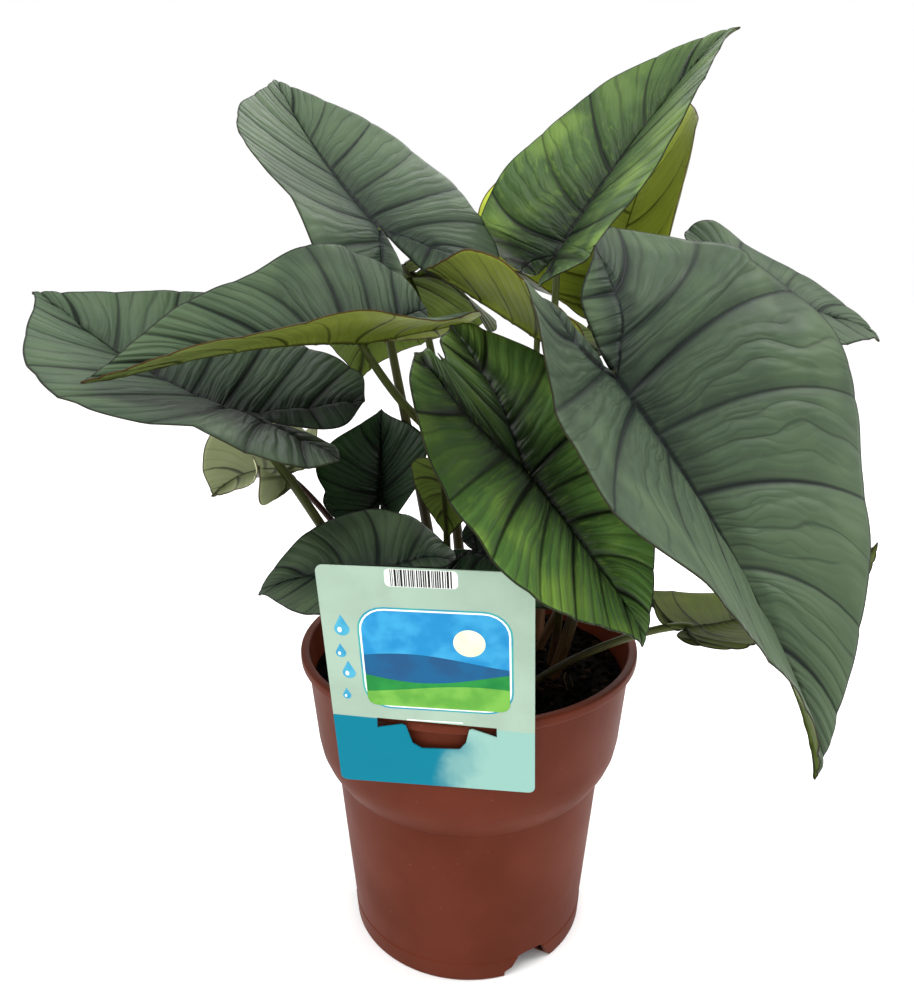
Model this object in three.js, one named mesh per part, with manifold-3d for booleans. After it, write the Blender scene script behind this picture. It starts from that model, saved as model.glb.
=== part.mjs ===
// Potted alocasia: a brown nursery pot with a rolled rim, its soil, sixteen arrow-shaped leaves
// on petioles of their own, and a care tag hooked over the front of the rim.
// Millimetres, +Z up. The origin is the centre of the pot's underside and the tag faces -Y.

import * as THREE from "three";
import { mergeVertices } from "three/addons/utils/BufferGeometryUtils.js";
import Module from "manifold-3d";

const wasm = await Module();
wasm.setup();

// Pot
const potHeight = 160;
const rimRadius = 85.2;
const lipWidth = 4.4;
const lipHeight = 5;
const lipBlend = 3;
const edgeRound = 1.2;
const collarTopRadius = 82;
const collarFootRadius = 78.2;
const collarFootHeight = 113;
const wallTopRadius = 68.9;
const wallTopHeight = 91.5;
const shoulder = [[0, 0], [1, 1.1], [5.8, 9], [8, 14.5]];
const shoulderThickening = 1;
const footRadius = 61.7;
const footHeight = 10;
const footStep = 0.6;
const potWall = 2;
const potFloor = 2.5;
const potSegments = 48;

// Drain notches in the pot's bottom edge
const notchCount = 3;
const firstNotchAngle = -58.5;
const notchDepth = 18;
const notchFall = 0.78;
const notchOverhang = 1.5;
const notchOutline = [
  [-15.5, -1], [-14.6, 5.5], [-10.8, 6.9], [-7.7, 12.2], [-2, 12.9],
  [6.9, 12.7], [10, 6.7], [13.4, 3.2], [14.5, -1],
];

// Soil
const soilEdgeHeight = 143;
const soilCrown = 3;
const soilRoughness = 0.8;
const gap = 0.3;

// Leaves and petioles
const bladeThickness = 1;
const midribSteps = 40;
const tipStart = 0.7;
const lobeBlend = 0.35;
const midribRidge = 1.7;
const ridgeTaper = 0.8;
const quiltHeight = 0.9;
const largeLeafLength = 100;
const petioleFootRadius = 3.3;
const petioleTopRadius = 1.8;
const smallPetioleShare = 0.75;
const petioleFootHeight = 130;
const petioleInset = 2.5;
const petioleSteps = 8;
const petioleSides = 6;
const stalkTrim = 3.5;

// Care tag
const tagWidth = 86.4;
const tagHeight = 112;
const tagThickness = 0.6;
const tagCornerRadius = 3;
const tagChamfer = 9.2;
const tagCentre = [-15.8, -88.75, 181.2];
const tagLean = 10;
const tagTurn = 7.2;
const tagRoll = 0.8;
const tagSlot = [
  [-24.1, -19.3], [-24.3, -24.8], [-13.4, -22.2], [-11.8, -23], [-9.4, -32.4], [-5.5, -35],
  [11, -34.2], [13.8, -30.4], [15.4, -23.2], [16.8, -22.6], [27.2, -26.2], [27.2, -21],
];
const tongueLeft = -11;
const tongueWidth = 24;
const tonguePath = [[0, -19.6], [4, -19.2], [6.5, -19.4], [8.2, -20.6], [8.8, -23], [9.4, -33]];

// Colours and how rough each surface is
const finishes = {
  sage: { color: 0x5c7a66, roughness: 0.45 },
  bright: { color: 0x4f8a3c, roughness: 0.4 },
  dark: { color: 0x2f4436, roughness: 0.4 },
  olive: { color: 0x8c9a3c, roughness: 0.5 },
  stalk: { color: 0x6f5a34, roughness: 0.5 },
  plum: { color: 0x5a2b2a, roughness: 0.5 },
  pot: { color: 0x73402f, roughness: 0.6 },
  soil: { color: 0x1c1613, roughness: 0.95 },
  card: { color: 0xc4dccb, roughness: 0.35 },
};

// One entry a leaf. "at" is the top of the petiole, "turn" is roll, pitch and heading in degrees,
// "length", "width" and "lobe" are midrib, half width and back lobe. Paired values are for the
// left and right half. "stem" is the petiole's foot in plan and its two control points.
const leaves = [
  {
    name: "front_right", tone: "sage", at: [56, -72, 306], turn: [49, -50, -12], length: 181,
    width: 87, lobe: 38, fullness: 0.41, bend: -2, tip: 28, side: -24, twist: -17, fold: [16, 42],
    curl: [-24, 1], back: [31, -16], spread: [-38, 14], wave: -3, phase: [90, 8],
    stem: [[38, -14], [78, -22, 265], [52, -48, 306]],
  },
  {
    name: "top_right", tone: "bright", at: [44, 63, 346], turn: [31, 56, 18], length: 166,
    width: 56, lobe: 15, fullness: 0.12, bend: 21, tip: 18, side: 3, twist: 5, fold: [6, 42],
    curl: [-2, -11], back: [-15, -18], spread: [-26, 15], wave: 2, phase: [-25, 58],
    stem: [[36, 22], [46, 62, 214], [47, 108, 310]],
  },
  {
    name: "back_right", tone: "olive", at: [79, 104, 321], turn: [-4, 109, -128],
    length: 138, width: 67, lobe: 18, fullness: 0.55, bend: -22, tip: 0, side: 4, twist: -8,
    fold: [-19, -25], curl: [-33, -21], back: [15, -25], spread: [10, -26], wave: -1,
    phase: [18, -18], stem: [[20, 17], [35, 45, 208], [60, 77, 313]],
  },
  {
    name: "top_left", tone: "sage", at: [-46, 60, 359], turn: [-15, 31, 130], length: 163,
    width: 61, lobe: 46, fullness: 0.2, bend: -1, tip: 8, side: -13, twist: 0, fold: [28, 11],
    curl: [10, -32], back: [-66, 19], spread: [-10, -16], wave: 1, phase: [6, -3],
    stem: [[-13, 27], [-16, 24, 215], [-48, 34, 315]],
  },
  {
    name: "centre", tone: "bright", at: [21, -83, 273], turn: [26, -50, -11], joined: 55,
    length: 90, width: 51, lobe: 61, fullness: 0.08, bend: 8, tip: 25, side: -1, twist: 8,
    fold: [20, 11], curl: [-10, -6], back: [1, 10], spread: [-26, 10], wave: 0, phase: [1, -7],
    stem: [[41, 4], [52, -12, 205], [37, -53, 264]],
  },
  {
    name: "left_folded", tone: "sage", at: [-46, -19, 313], turn: [-26, 6, -145], length: 121,
    width: 54, lobe: 42, fullness: -0.24, bend: 23, tip: -17, side: 3, twist: -8, fold: [57, 32],
    curl: [-26, -11], back: [11, -2], spread: [-4, -17], wave: 4, phase: [-73, -35],
    stem: [[7, 13], [4, -2, 300], [-9, 11, 232]],
  },
  {
    name: "left_low", tone: "sage", at: [-103, -24, 281], turn: [6, 19, 175], length: 119,
    width: 65, lobe: 53, fullness: 0.36, bend: -19, tip: 13, side: -20, twist: -16, fold: [9, 34],
    curl: [-15, -10], back: [3, 17], spread: [-5, -2], wave: 0, phase: [-4, 11],
    stem: [[-17, -14], [-62, -12, 205], [-76, -34, 254]],
  },
  {
    name: "inner_dark", tone: "dark", at: [-44, 4, 232], turn: [-13, 35, 93], length: 60,
    width: 28, lobe: 24, fullness: 0.4, bend: -7, tip: 13, side: 0, twist: 3, fold: [34, 35],
    curl: [-10, -6], back: [16, 11], spread: [4, 10], wave: 0, phase: [-2, -1],
    stem: [[0, 4], [-21, 2, 178], [-34, 4, 199]],
  },
  {
    name: "front_left", tone: "sage", at: [-34, -57, 220], turn: [-20, -4, 171],
    length: 69, width: 32, lobe: 27, fullness: 0.18, bend: 25, tip: 18, side: -1, twist: -25,
    fold: [14, 17], curl: [4, -15], back: [-36, -4], spread: [-29, -36], wave: 1, phase: [1, -1],
    stem: [[-4, -16], [-12, -26, 168], [-27, -50, 197]],
  },
  {
    name: "centre_folded", tone: "olive", at: [31, -33, 316], turn: [-19, 28, 155],
    length: 66, width: 38, lobe: 24, fullness: 0.4, bend: 8, tip: 8, side: -9, twist: 7,
    fold: [55, 5], curl: [0, -35], back: [10, 0], spread: [0, 0], wave: 0, phase: [0, 0],
    stem: [[30, 1], [31, -18, 188], [29, -15, 250]],
  },
  {
    name: "right_back", tone: "sage", at: [133, 18, 330], turn: [22, -11, 23], length: 87,
    width: 52, lobe: 24, fullness: -0.29, bend: 6, tip: 18, side: -8, twist: -1, fold: [24, -7],
    curl: [-15, -22], back: [0, -33], spread: [-4, -13], wave: 2, phase: [82, -1],
    stem: [[30, 14], [64, 12, 214], [112, 14, 284]],
  },
  {
    name: "right_low", tone: "olive", at: [98, -51, 189], turn: [143, -4, 20],
    length: 125, width: 48, lobe: 12, fullness: -0.25, bend: 30, tip: 10, side: 4, twist: -3,
    fold: [27, -31], curl: [-16, -18], back: [24, -12], spread: [2, -22], wave: 0, phase: [0, 0],
    footRadius: 1.8, stem: [[18, -23], [27, -27, 155], [84, -52, 195]],
  },
  {
    name: "far_left", tone: "olive", at: [-89, -8, 250], turn: [-136, 6, 178], length: 37,
    width: 50, lobe: 11, fullness: 0.6, bend: -67, tip: 8, side: -12, twist: -4, fold: [-45, 36],
    curl: [-20, -22], back: [-2, 18], spread: [-10, 23], wave: 0, phase: [2, 0],
    stem: [[-18, 5], [-39, 3, 178], [-72, 1, 236]],
  },
  {
    name: "back_left", tone: "olive", at: [-34, 105, 334], turn: [3, -24, 126], length: 102,
    width: 59, lobe: 33, fullness: 0, bend: 42, tip: 14, side: -6, twist: 0, fold: [-6, -16],
    curl: [-21, -24], back: [7, -25], spread: [-10, -21], wave: 0, phase: [0, -1],
    stem: [[-1, 31], [-4, 50, 200], [-20, 88, 314]],
  },
  {
    name: "small_hanging", tone: "olive", at: [-11, -48, 258], turn: [205, -109, -92],
    length: 33, width: 16, lobe: 8, fullness: 0, bend: 0, tip: 10, side: -4, twist: 0,
    fold: [7, 8], curl: [-20, -19], back: [11, 15], spread: [2, 3], wave: 0, phase: [0, 0],
    stem: [[-13, -5], [-8, -12, 195], [-11, -55, 279]],
  },
  {
    name: "low_centre", tone: "dark", at: [3, -38, 221], turn: [24, -1, -45],
    length: 56, width: 30, lobe: 15, fullness: 0, bend: 30, tip: 12, side: -3, twist: 0,
    fold: [12, -2], curl: [-20, -22], back: [13, -10], spread: [2, -12], wave: 0, phase: [0, 0],
    stem: [[11, 0], [8, -15, 176], [1, -35, 207]],
  },
];

// Leaf plan, as shares of length, lobe and width: each row is one side vein, from the tip to the
// tip of the back lobe, with its start on the midrib (below 0 on the lobe's rib) and its margin end
const veinRows = [
  [1, 1, 0], [0.88, 0.95, 0.05], [0.72, 0.86, 0.17], [0.55, 0.73, 0.37], [0.38, 0.57, 0.6],
  [0.23, 0.38, 0.8], [0.1, 0.17, 0.94], [0, -0.12, 1], [-0.33, -0.53, 0.97],
  [-0.66, -0.88, 0.78], [-1, -1, 0.44],
];
const lobeRib = [[0, 0], [-0.5, 0.25], [-1, 0.44]];
const sinusMargin = [[0, 0], [-0.45, 0.04], [-0.86, 0.15], [-1, 0.44]];
const firstLobeRow = 7;
const veinCurve = smoothCurve(veinRows);
const ribCurve = smoothCurve(lobeRib);
const sinusCurve = smoothCurve(sinusMargin);

function smoothCurve(points) {
  const places = points.map(([x, y, z = 0]) => new THREE.Vector3(x, y, z));
  return new THREE.CatmullRomCurve3(places, false, "catmullrom", 0.5);
}

function radians(degrees) {
  return THREE.MathUtils.degToRad(degrees);
}

// Solids for cutting and joining
function toSolid(geometry) {
  const bare = geometry.clone();
  bare.deleteAttribute("normal");
  bare.deleteAttribute("uv");
  const merged = mergeVertices(bare, 1e-4);
  const vertProperties = new Float32Array(merged.attributes.position.array);
  const triVerts = new Uint32Array(merged.index.array);
  return new wasm.Manifold(new wasm.Mesh({ numProp: 3, vertProperties, triVerts }));
}

function fromSolid(solid) {
  const { vertProperties, triVerts } = solid.getMesh();
  return closedGeometry(Array.from(vertProperties), Array.from(triVerts));
}

function closedGeometry(positions, triangles) {
  const geometry = new THREE.BufferGeometry();
  geometry.setAttribute("position", new THREE.Float32BufferAttribute(positions, 3));
  geometry.setIndex(triangles);
  geometry.computeVertexNormals();
  return geometry;
}

function namedMesh(name, geometry, finish) {
  const material = new THREE.MeshStandardMaterial({ ...finishes[finish], metalness: 0 });
  const mesh = new THREE.Mesh(geometry, material);
  mesh.name = name;
  return mesh;
}

// Leaf surface: a bent, twisted midrib carries two halves that fold up from it and curl outwards
function midribPoints(leaf) {
  const points = [new THREE.Vector3()];
  const headings = [];
  for (let i = 0; i <= midribSteps; i += 1) {
    const u = i / midribSteps;
    const tipShare = Math.max(u - tipStart, 0) / (1 - tipStart);
    const droop = -leaf.bend * u - leaf.tip * tipShare ** 2;
    headings.push([radians(droop), radians(leaf.side * u)]);
  }
  const direction = ([rise, sway]) => new THREE.Vector3(
    Math.cos(rise) * Math.cos(sway), Math.cos(rise) * Math.sin(sway), Math.sin(rise));
  for (let i = 1; i <= midribSteps; i += 1) {
    const step = direction(headings[i - 1]).add(direction(headings[i]));
    step.multiplyScalar(leaf.length / midribSteps / 2);
    points.push(points[i - 1].clone().add(step));
  }
  return { points, headings };
}

function midribFrame(leaf, midrib, x, y, half) {
  if (x >= 0) {
    const place = Math.min(x / leaf.length, 1) * midribSteps;
    const i = Math.min(Math.floor(place), midribSteps - 1);
    const share = place - i;
    const [rise, sway] = [0, 1].map((k) => (
      THREE.MathUtils.lerp(midrib.headings[i][k], midrib.headings[i + 1][k], share)));
    const origin = midrib.points[i].clone().lerp(midrib.points[i + 1], share);
    return { origin, rise, sway };
  }
  const mean = (leaf.back[0] + leaf.back[1]) / 2;
  const blend = THREE.MathUtils.smoothstep(y / (lobeBlend * leaf.width), 0, 1);
  const back = -x / leaf.lobe;
  const angle = radians(mean + (leaf.back[half] - mean) * blend) * back;
  const flat = Math.abs(angle) < 1e-5;
  const origin = new THREE.Vector3(
    flat ? x : (x * Math.sin(angle)) / angle, 0, flat ? 0 : (-x * (1 - Math.cos(angle))) / angle);
  return { origin, rise: -angle, sway: 0 };
}

function surfacePoint(leaf, midrib, x, y, half, lift) {
  const { origin, rise, sway } = midribFrame(leaf, midrib, x, y, half);
  const ahead = new THREE.Vector3(
    Math.cos(rise) * Math.cos(sway), Math.cos(rise) * Math.sin(sway), Math.sin(rise));
  const level = new THREE.Vector3(-Math.sin(sway), Math.cos(sway), 0);
  const up = new THREE.Vector3().crossVectors(ahead, level);
  const twist = radians(leaf.twist) * THREE.MathUtils.clamp(x / leaf.length, 0, 1);
  level.applyAxisAngle(ahead, twist);
  up.applyAxisAngle(ahead, twist);
  const lobeShare = THREE.MathUtils.smoothstep(-x / leaf.lobe, 0, 1);
  const fold = radians(leaf.fold[half] + leaf.spread[half] * lobeShare);
  const curl = (radians(leaf.curl[half]) || 1e-4) / leaf.width;
  const out = (Math.sin(fold + curl * y) - Math.sin(fold)) / curl;
  const wavePhase = (4 * Math.PI * x) / leaf.length + radians(leaf.phase[half]);
  const height = (Math.cos(fold) - Math.cos(fold + curl * y)) / curl
    + leaf.wave * Math.sin(wavePhase) * (y / leaf.width) ** 2 + lift;
  const side = half === 0 ? 1 : -1;
  return origin.addScaledVector(level, side * out).addScaledVector(up, height);
}

// Flat leaf plan
function planPoint(leaf, x, y) {
  return [x > 0 ? x * leaf.length : x * leaf.lobe, y * leaf.width];
}

function veinRow(leaf, s) {
  const { x: start, y: endX, z: endY } = veinCurve.getPoint(s);
  const along = THREE.MathUtils.clamp(endX, 0, 1);
  const swell = 1 + leaf.fullness * 4 * along * (1 - along);
  const rib = ribCurve.getPoint(Math.max(-start, 0));
  return {
    start: start >= 0 ? [start * leaf.length, 0] : planPoint(leaf, rib.x, rib.y),
    end: planPoint(leaf, endX, Math.max(endY, 0) * swell),
    lobePlace: THREE.MathUtils.clamp(-start, 0, 1),
  };
}

function sinusPoint(leaf, place) {
  const { x, y } = sinusCurve.getPoint(place);
  const [px, py] = planPoint(leaf, x, y);
  return [px - (leaf.joined ?? 0) * (1 - place) ** 2, py];
}

function between([ax, ay], [bx, by], share) {
  return [ax + (bx - ax) * share, ay + (by - ay) * share];
}

// Middle surface of a blade as a net of vertices and triangles that face up
function bladeNet(leaf) {
  const large = leaf.length > largeLeafLength;
  const rows = large ? 20 : 10;
  const outward = large ? [0, 0.07, 0.4, 0.75, 1] : [0, 0.12, 0.55, 1];
  const backward = [0, 0.5, 1];
  const midrib = midribPoints(leaf);
  const net = { points: [], ridges: [], triangles: [] };
  const known = new Map();
  const vertex = ([x, y], half, lift, ridge) => {
    const signed = half === 0 ? y : -y;
    const key = `${x.toFixed(3)} ${(Math.abs(signed) < 1e-3 ? 0 : signed).toFixed(3)}`;
    if (!known.has(key)) {
      known.set(key, net.points.length);
      net.points.push(surfacePoint(leaf, midrib, x, y, half, lift));
      net.ridges.push(ridge);
    }
    return known.get(key);
  };
  const triangle = (a, b, c, flip) => {
    if (a !== b && b !== c && c !== a) net.triangles.push(flip ? [a, c, b] : [a, b, c]);
  };
  const weave = (grid, flip) => {
    for (let i = 0; i + 1 < grid.length; i += 1) {
      for (let j = 0; j + 1 < grid[i].length; j += 1) {
        const [a, b, c, d] = [grid[i][j], grid[i + 1][j], grid[i + 1][j + 1], grid[i][j + 1]];
        triangle(a, b, d, flip);
        triangle(b, c, d, flip);
      }
    }
  };
  for (const half of [0, 1]) {
    const front = [];
    const rear = [];
    for (let i = 0; i <= rows; i += 1) {
      const row = veinRow(leaf, i / rows);
      const quilt = large && i % 2 === 1 ? quiltHeight : 0;
      const ridge = midribRidge * (1 - ridgeTaper * Math.abs(row.start[0]) / leaf.length);
      front.push(outward.map((share, j) => (
        vertex(between(row.start, row.end, share), half, quilt * Math.sin(Math.PI * share),
          j === 0 ? ridge : 0))));
      if (i * 10 >= firstLobeRow * rows) {
        const notch = sinusPoint(leaf, row.lobePlace);
        rear.push(backward.map((share, j) => (
          vertex(between(row.start, notch, share), half, 0, j === 0 ? ridge : 0))));
      }
    }
    weave(front, half === 0);
    weave(rear, half === 1);
  }
  return net;
}

// Closed blade: the net thickened both ways, with a wall round its margin
function bladeGeometry(net, above, below, grow = 0) {
  const normals = net.points.map(() => new THREE.Vector3());
  const margins = net.points.map(() => new THREE.Vector3());
  const edges = new Map();
  for (const [a, b, c] of net.triangles) {
    const ab = net.points[b].clone().sub(net.points[a]);
    const ac = net.points[c].clone().sub(net.points[a]);
    const face = ab.cross(ac);
    [a, b, c].forEach((k) => normals[k].add(face));
    [[a, b], [b, c], [c, a]].forEach(([p, q]) => {
      if (!edges.delete(`${q} ${p}`)) edges.set(`${p} ${q}`, [p, q]);
    });
  }
  normals.forEach((normal) => normal.normalize());
  for (const [p, q] of edges.values()) {
    const along = net.points[q].clone().sub(net.points[p]).normalize();
    margins[p].add(along.clone().cross(normals[p]));
    margins[q].add(along.clone().cross(normals[q]));
  }
  const count = net.points.length;
  const positions = [];
  for (const upper of [true, false]) {
    net.points.forEach((point, k) => {
      const offset = upper ? above : -below - net.ridges[k];
      const place = point.clone().addScaledVector(normals[k], offset);
      if (grow > 0) place.addScaledVector(margins[k].normalize(), grow);
      positions.push(place.x, place.y, place.z);
    });
  }
  const triangles = [];
  for (const [a, b, c] of net.triangles) {
    triangles.push(a, b, c, a + count, c + count, b + count);
  }
  for (const [p, q] of edges.values()) {
    triangles.push(q, p, p + count, q, p + count, q + count);
  }
  return closedGeometry(positions, triangles);
}

// Petiole: a tapered tube along a cubic curve, closed at both ends
function petioleRings(leaf, top) {
  const [[footX, footY], near, far] = leaf.stem;
  const curve = new THREE.CubicBezierCurve3(
    new THREE.Vector3(footX, footY, petioleFootHeight),
    new THREE.Vector3(...near), new THREE.Vector3(...far), top);
  const frames = curve.computeFrenetFrames(petioleSteps, false);
  const slim = leaf.length > largeLeafLength ? 1 : smallPetioleShare;
  const footRadius = leaf.footRadius ?? petioleFootRadius;
  return Array.from({ length: petioleSteps + 1 }, (_, i) => ({
    centre: curve.getPointAt(i / petioleSteps),
    ahead: frames.tangents[i],
    across: frames.normals[i],
    radius: slim * THREE.MathUtils.lerp(footRadius, petioleTopRadius, i / petioleSteps),
  }));
}

function tubeGeometry(rings, extraRadius = 0) {
  const positions = [];
  const triangles = [];
  rings.forEach(({ centre, ahead, across, radius }, i) => {
    const place = centre.clone();
    if (i === 0) place.addScaledVector(ahead, -extraRadius);
    for (let k = 0; k < petioleSides; k += 1) {
      const spoke = across.clone().applyAxisAngle(ahead, (2 * Math.PI * k) / petioleSides);
      const point = place.clone().addScaledVector(spoke, radius + extraRadius);
      positions.push(point.x, point.y, point.z);
    }
  });
  for (let i = 0; i + 1 < rings.length; i += 1) {
    for (let k = 0; k < petioleSides; k += 1) {
      const a = i * petioleSides + k;
      const b = i * petioleSides + ((k + 1) % petioleSides);
      triangles.push(a, b, b + petioleSides, a, b + petioleSides, a + petioleSides);
    }
  }
  const last = (rings.length - 1) * petioleSides;
  for (let k = 1; k + 1 < petioleSides; k += 1) {
    triangles.push(0, k + 1, k, last, last + k, last + k + 1);
  }
  return closedGeometry(positions, triangles);
}

// Pot, turned about its axis, with drain notches cut into the bottom edge
function turned(profile) {
  const outline = profile.map(([radius, height]) => new THREE.Vector2(radius, height));
  return new THREE.LatheGeometry(outline, potSegments).rotateX(Math.PI / 2);
}

function notchGeometry(index) {
  const shape = new THREE.Shape(notchOutline.map(([x, y]) => new THREE.Vector2(x, y)));
  const block = new THREE.ExtrudeGeometry(shape, { depth: notchDepth, bevelEnabled: false });
  block.applyMatrix4(new THREE.Matrix4().makeShear(0, 0, 0, 0, 0, notchFall));
  block.translate(0, -notchFall * notchDepth, 0);
  block.rotateX(Math.PI / 2);
  block.translate(0, notchDepth - footRadius - notchOverhang, 0);
  block.rotateZ(radians(firstNotchAngle + 90 + (index * 360) / notchCount));
  return block;
}

function potSolid() {
  const lipFoot = potHeight - lipHeight;
  const lipInside = rimRadius - lipWidth;
  const profile = [
    [0, 0], [footRadius - edgeRound, 0], [footRadius, edgeRound],
    [footRadius + footStep, footHeight], [footRadius + footStep / 2, footHeight + footStep],
    ...shoulder.map(([out, up]) => [wallTopRadius + out, wallTopHeight + up]),
    [collarFootRadius, collarFootHeight], [collarTopRadius, lipFoot],
    [rimRadius - edgeRound, lipFoot], [rimRadius, lipFoot + edgeRound],
    [rimRadius, potHeight - edgeRound], [rimRadius - edgeRound, potHeight],
    [lipInside + edgeRound, potHeight], [lipInside, potHeight - edgeRound],
    [collarTopRadius - potWall, lipFoot - lipBlend],
    ...hollowProfile(0).reverse(),
  ];
  return toSolid(turned(profile));
}

// Inside of the pot up to the collar's foot, held off the wall by a clearance
function hollowProfile(clearance) {
  const inward = potWall + clearance;
  const upward = shoulderThickening + clearance;
  return [
    [0, potFloor + clearance], [footRadius - inward, potFloor + clearance],
    ...shoulder.map(([out, up]) => [wallTopRadius + out - inward, wallTopHeight + up + upward]),
    [collarFootRadius - inward, collarFootHeight + clearance],
  ];
}

// Soil, filling the pot with a small gap and rising gently to the middle
function soilSolid() {
  const collarRise = potHeight - lipHeight - lipBlend - collarFootHeight;
  const collarSlope = (collarTopRadius - collarFootRadius) / collarRise;
  const edgeRise = soilEdgeHeight - collarFootHeight;
  const edgeRadius = collarFootRadius - potWall - 1.5 * gap + edgeRise * collarSlope;
  const crown = [0.86, 0.64, 0.33, 0].map((share) => (
    [edgeRadius * share, soilEdgeHeight + soilCrown * (1 - share ** 2)]));
  const profile = [...hollowProfile(gap), [edgeRadius, soilEdgeHeight], ...crown];
  const geometry = turned(profile);
  const places = geometry.attributes.position;
  for (let i = 0; i < places.count; i += 1) {
    const [x, y, z] = [places.getX(i), places.getY(i), places.getZ(i)];
    if (z > soilEdgeHeight && Math.hypot(x, y) > 1) {
      const bump = Math.sin(x / 7 + y / 11) + Math.cos(y / 6 - x / 13);
      places.setZ(i, z + (soilRoughness * bump) / 2);
    }
  }
  return toSolid(geometry);
}

// Care tag: a thin card with a slot, and a tongue folded back over the rim
function tagGeometry() {
  const [right, top] = [tagWidth / 2, tagHeight / 2];
  const round = tagCornerRadius;
  const card = new THREE.Shape();
  card.moveTo(-right + round, -top);
  card.lineTo(right - round, -top);
  card.quadraticCurveTo(right, -top, right, -top + round);
  card.lineTo(right, top - tagChamfer);
  card.lineTo(right - tagChamfer, top);
  card.lineTo(-right + round, top);
  card.quadraticCurveTo(-right, top, -right, top - round);
  card.lineTo(-right, -top + round);
  card.quadraticCurveTo(-right, -top, -right + round, -top);
  card.holes.push(new THREE.Path(tagSlot.map(([x, y]) => new THREE.Vector2(x, y))));
  const flat = { depth: tagThickness, bevelEnabled: false, curveSegments: 3 };
  const plate = new THREE.ExtrudeGeometry(card, flat).translate(0, 0, -tagThickness);
  const outer = tonguePath.map(([x, y]) => new THREE.Vector2(x, y));
  const inner = outer.map((point, i) => {
    const before = outer[Math.max(i - 1, 0)];
    const after = outer[Math.min(i + 1, outer.length - 1)];
    const along = after.clone().sub(before).normalize();
    return point.clone().add(new THREE.Vector2(-along.y, along.x).multiplyScalar(tagThickness));
  });
  const strip = new THREE.Shape([...outer, ...inner.reverse()]);
  const tongue = new THREE.ExtrudeGeometry(strip, { depth: tongueWidth, bevelEnabled: false });
  tongue.rotateY(Math.PI / 2).translate(tongueLeft, 0, 0);
  return fromSolid(toSolid(plate).add(toSolid(tongue)));
}

// Assembly
const plant = new THREE.Group();
const foliage = new THREE.Group();
plant.add(foliage);

let pot = potSolid();
let soil = soilSolid();
for (let i = 0; i < notchCount; i += 1) {
  const notch = toSolid(notchGeometry(i));
  pot = pot.subtract(notch);
  soil = soil.subtract(notch);
}

for (const leaf of leaves) {
  const net = bladeNet(leaf);
  const half = bladeThickness / 2;
  const blade = namedMesh(`blade_${leaf.name}`, bladeGeometry(net, half, half), leaf.tone);
  const [roll, pitch, heading] = leaf.turn.map(radians);
  blade.position.set(...leaf.at);
  blade.rotation.set(roll, -pitch, heading, "ZYX");
  blade.updateMatrixWorld();
  foliage.add(blade);

  const top = new THREE.Vector3(petioleInset, 0, 0).applyMatrix4(blade.matrixWorld);
  const rings = petioleRings(leaf, top);
  const without = (stalk, above) => {
    const clearance = bladeGeometry(net, above, half + gap, gap).applyMatrix4(blade.matrixWorld);
    return stalk.subtract(toSolid(clearance)).decompose();
  };
  let pieces = without(toSolid(tubeGeometry(rings)), half + gap);
  if (pieces.length === 1 && leaf.length > largeLeafLength) pieces = without(pieces[0], stalkTrim);
  const stalk = pieces.reduce((a, b) => (b.volume() > a.volume() ? b : a));
  const finish = leaf.tone === "dark" || leaf.name === "far_left" ? "plum" : "stalk";
  foliage.add(namedMesh(`petiole_${leaf.name}`, fromSolid(stalk), finish));
  const soilTop = 2 * soilEdgeHeight - petioleFootHeight;
  const inSoil = rings.filter(({ centre }, i) => i < 2 || centre.z < soilTop);
  soil = soil.subtract(toSolid(tubeGeometry(inSoil, gap)));
}

plant.add(namedMesh("pot", fromSolid(pot), "pot"));
plant.add(namedMesh("soil", fromSolid(soil), "soil"));

const tag = namedMesh("tag", tagGeometry(), "card");
tag.position.set(...tagCentre);
tag.rotation.set(radians(90 + tagLean), 0, radians(-tagTurn), "ZYX");
tag.rotateZ(radians(tagRoll));
plant.add(tag);

export default plant;
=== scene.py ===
import random
from math import cos, hypot, pi, radians, sin, sqrt

import bmesh
import bpy
import numpy as np
from mathutils import Euler, Matrix, Vector


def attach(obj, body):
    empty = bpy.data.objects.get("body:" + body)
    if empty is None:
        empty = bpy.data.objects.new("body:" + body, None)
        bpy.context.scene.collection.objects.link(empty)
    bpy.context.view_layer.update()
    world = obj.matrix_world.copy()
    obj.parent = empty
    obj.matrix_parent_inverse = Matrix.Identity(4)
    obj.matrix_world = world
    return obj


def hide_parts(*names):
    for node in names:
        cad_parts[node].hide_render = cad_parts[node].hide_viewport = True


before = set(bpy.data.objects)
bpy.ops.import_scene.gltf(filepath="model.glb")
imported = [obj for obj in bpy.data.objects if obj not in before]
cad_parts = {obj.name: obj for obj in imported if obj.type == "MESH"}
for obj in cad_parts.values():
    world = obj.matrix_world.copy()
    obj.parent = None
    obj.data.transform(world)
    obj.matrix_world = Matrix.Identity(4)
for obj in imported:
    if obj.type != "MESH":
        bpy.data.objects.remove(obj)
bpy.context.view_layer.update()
mm = 0.001


# Helpers for meshes

def addMesh(name, points, faces, materials, faceSlots=None, uvs=None):
    mesh = bpy.data.meshes.new(name)
    mesh.from_pydata([tuple(p) for p in points], [], [tuple(f) for f in faces])
    for material in materials:
        mesh.materials.append(material)
    if faceSlots is not None:
        mesh.polygons.foreach_set("material_index", np.asarray(faceSlots, dtype=np.int32))
    for layer, values in (uvs or {}).items():
        uv = mesh.uv_layers.new(name=layer)
        uv.data.foreach_set("uv", np.asarray(values, dtype=np.float32).ravel())
    mesh.polygons.foreach_set("use_smooth", [True] * len(mesh.polygons))
    mesh.update()
    piece = bpy.data.objects.new(name, mesh)
    bpy.context.scene.collection.objects.link(piece)
    return piece


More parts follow.
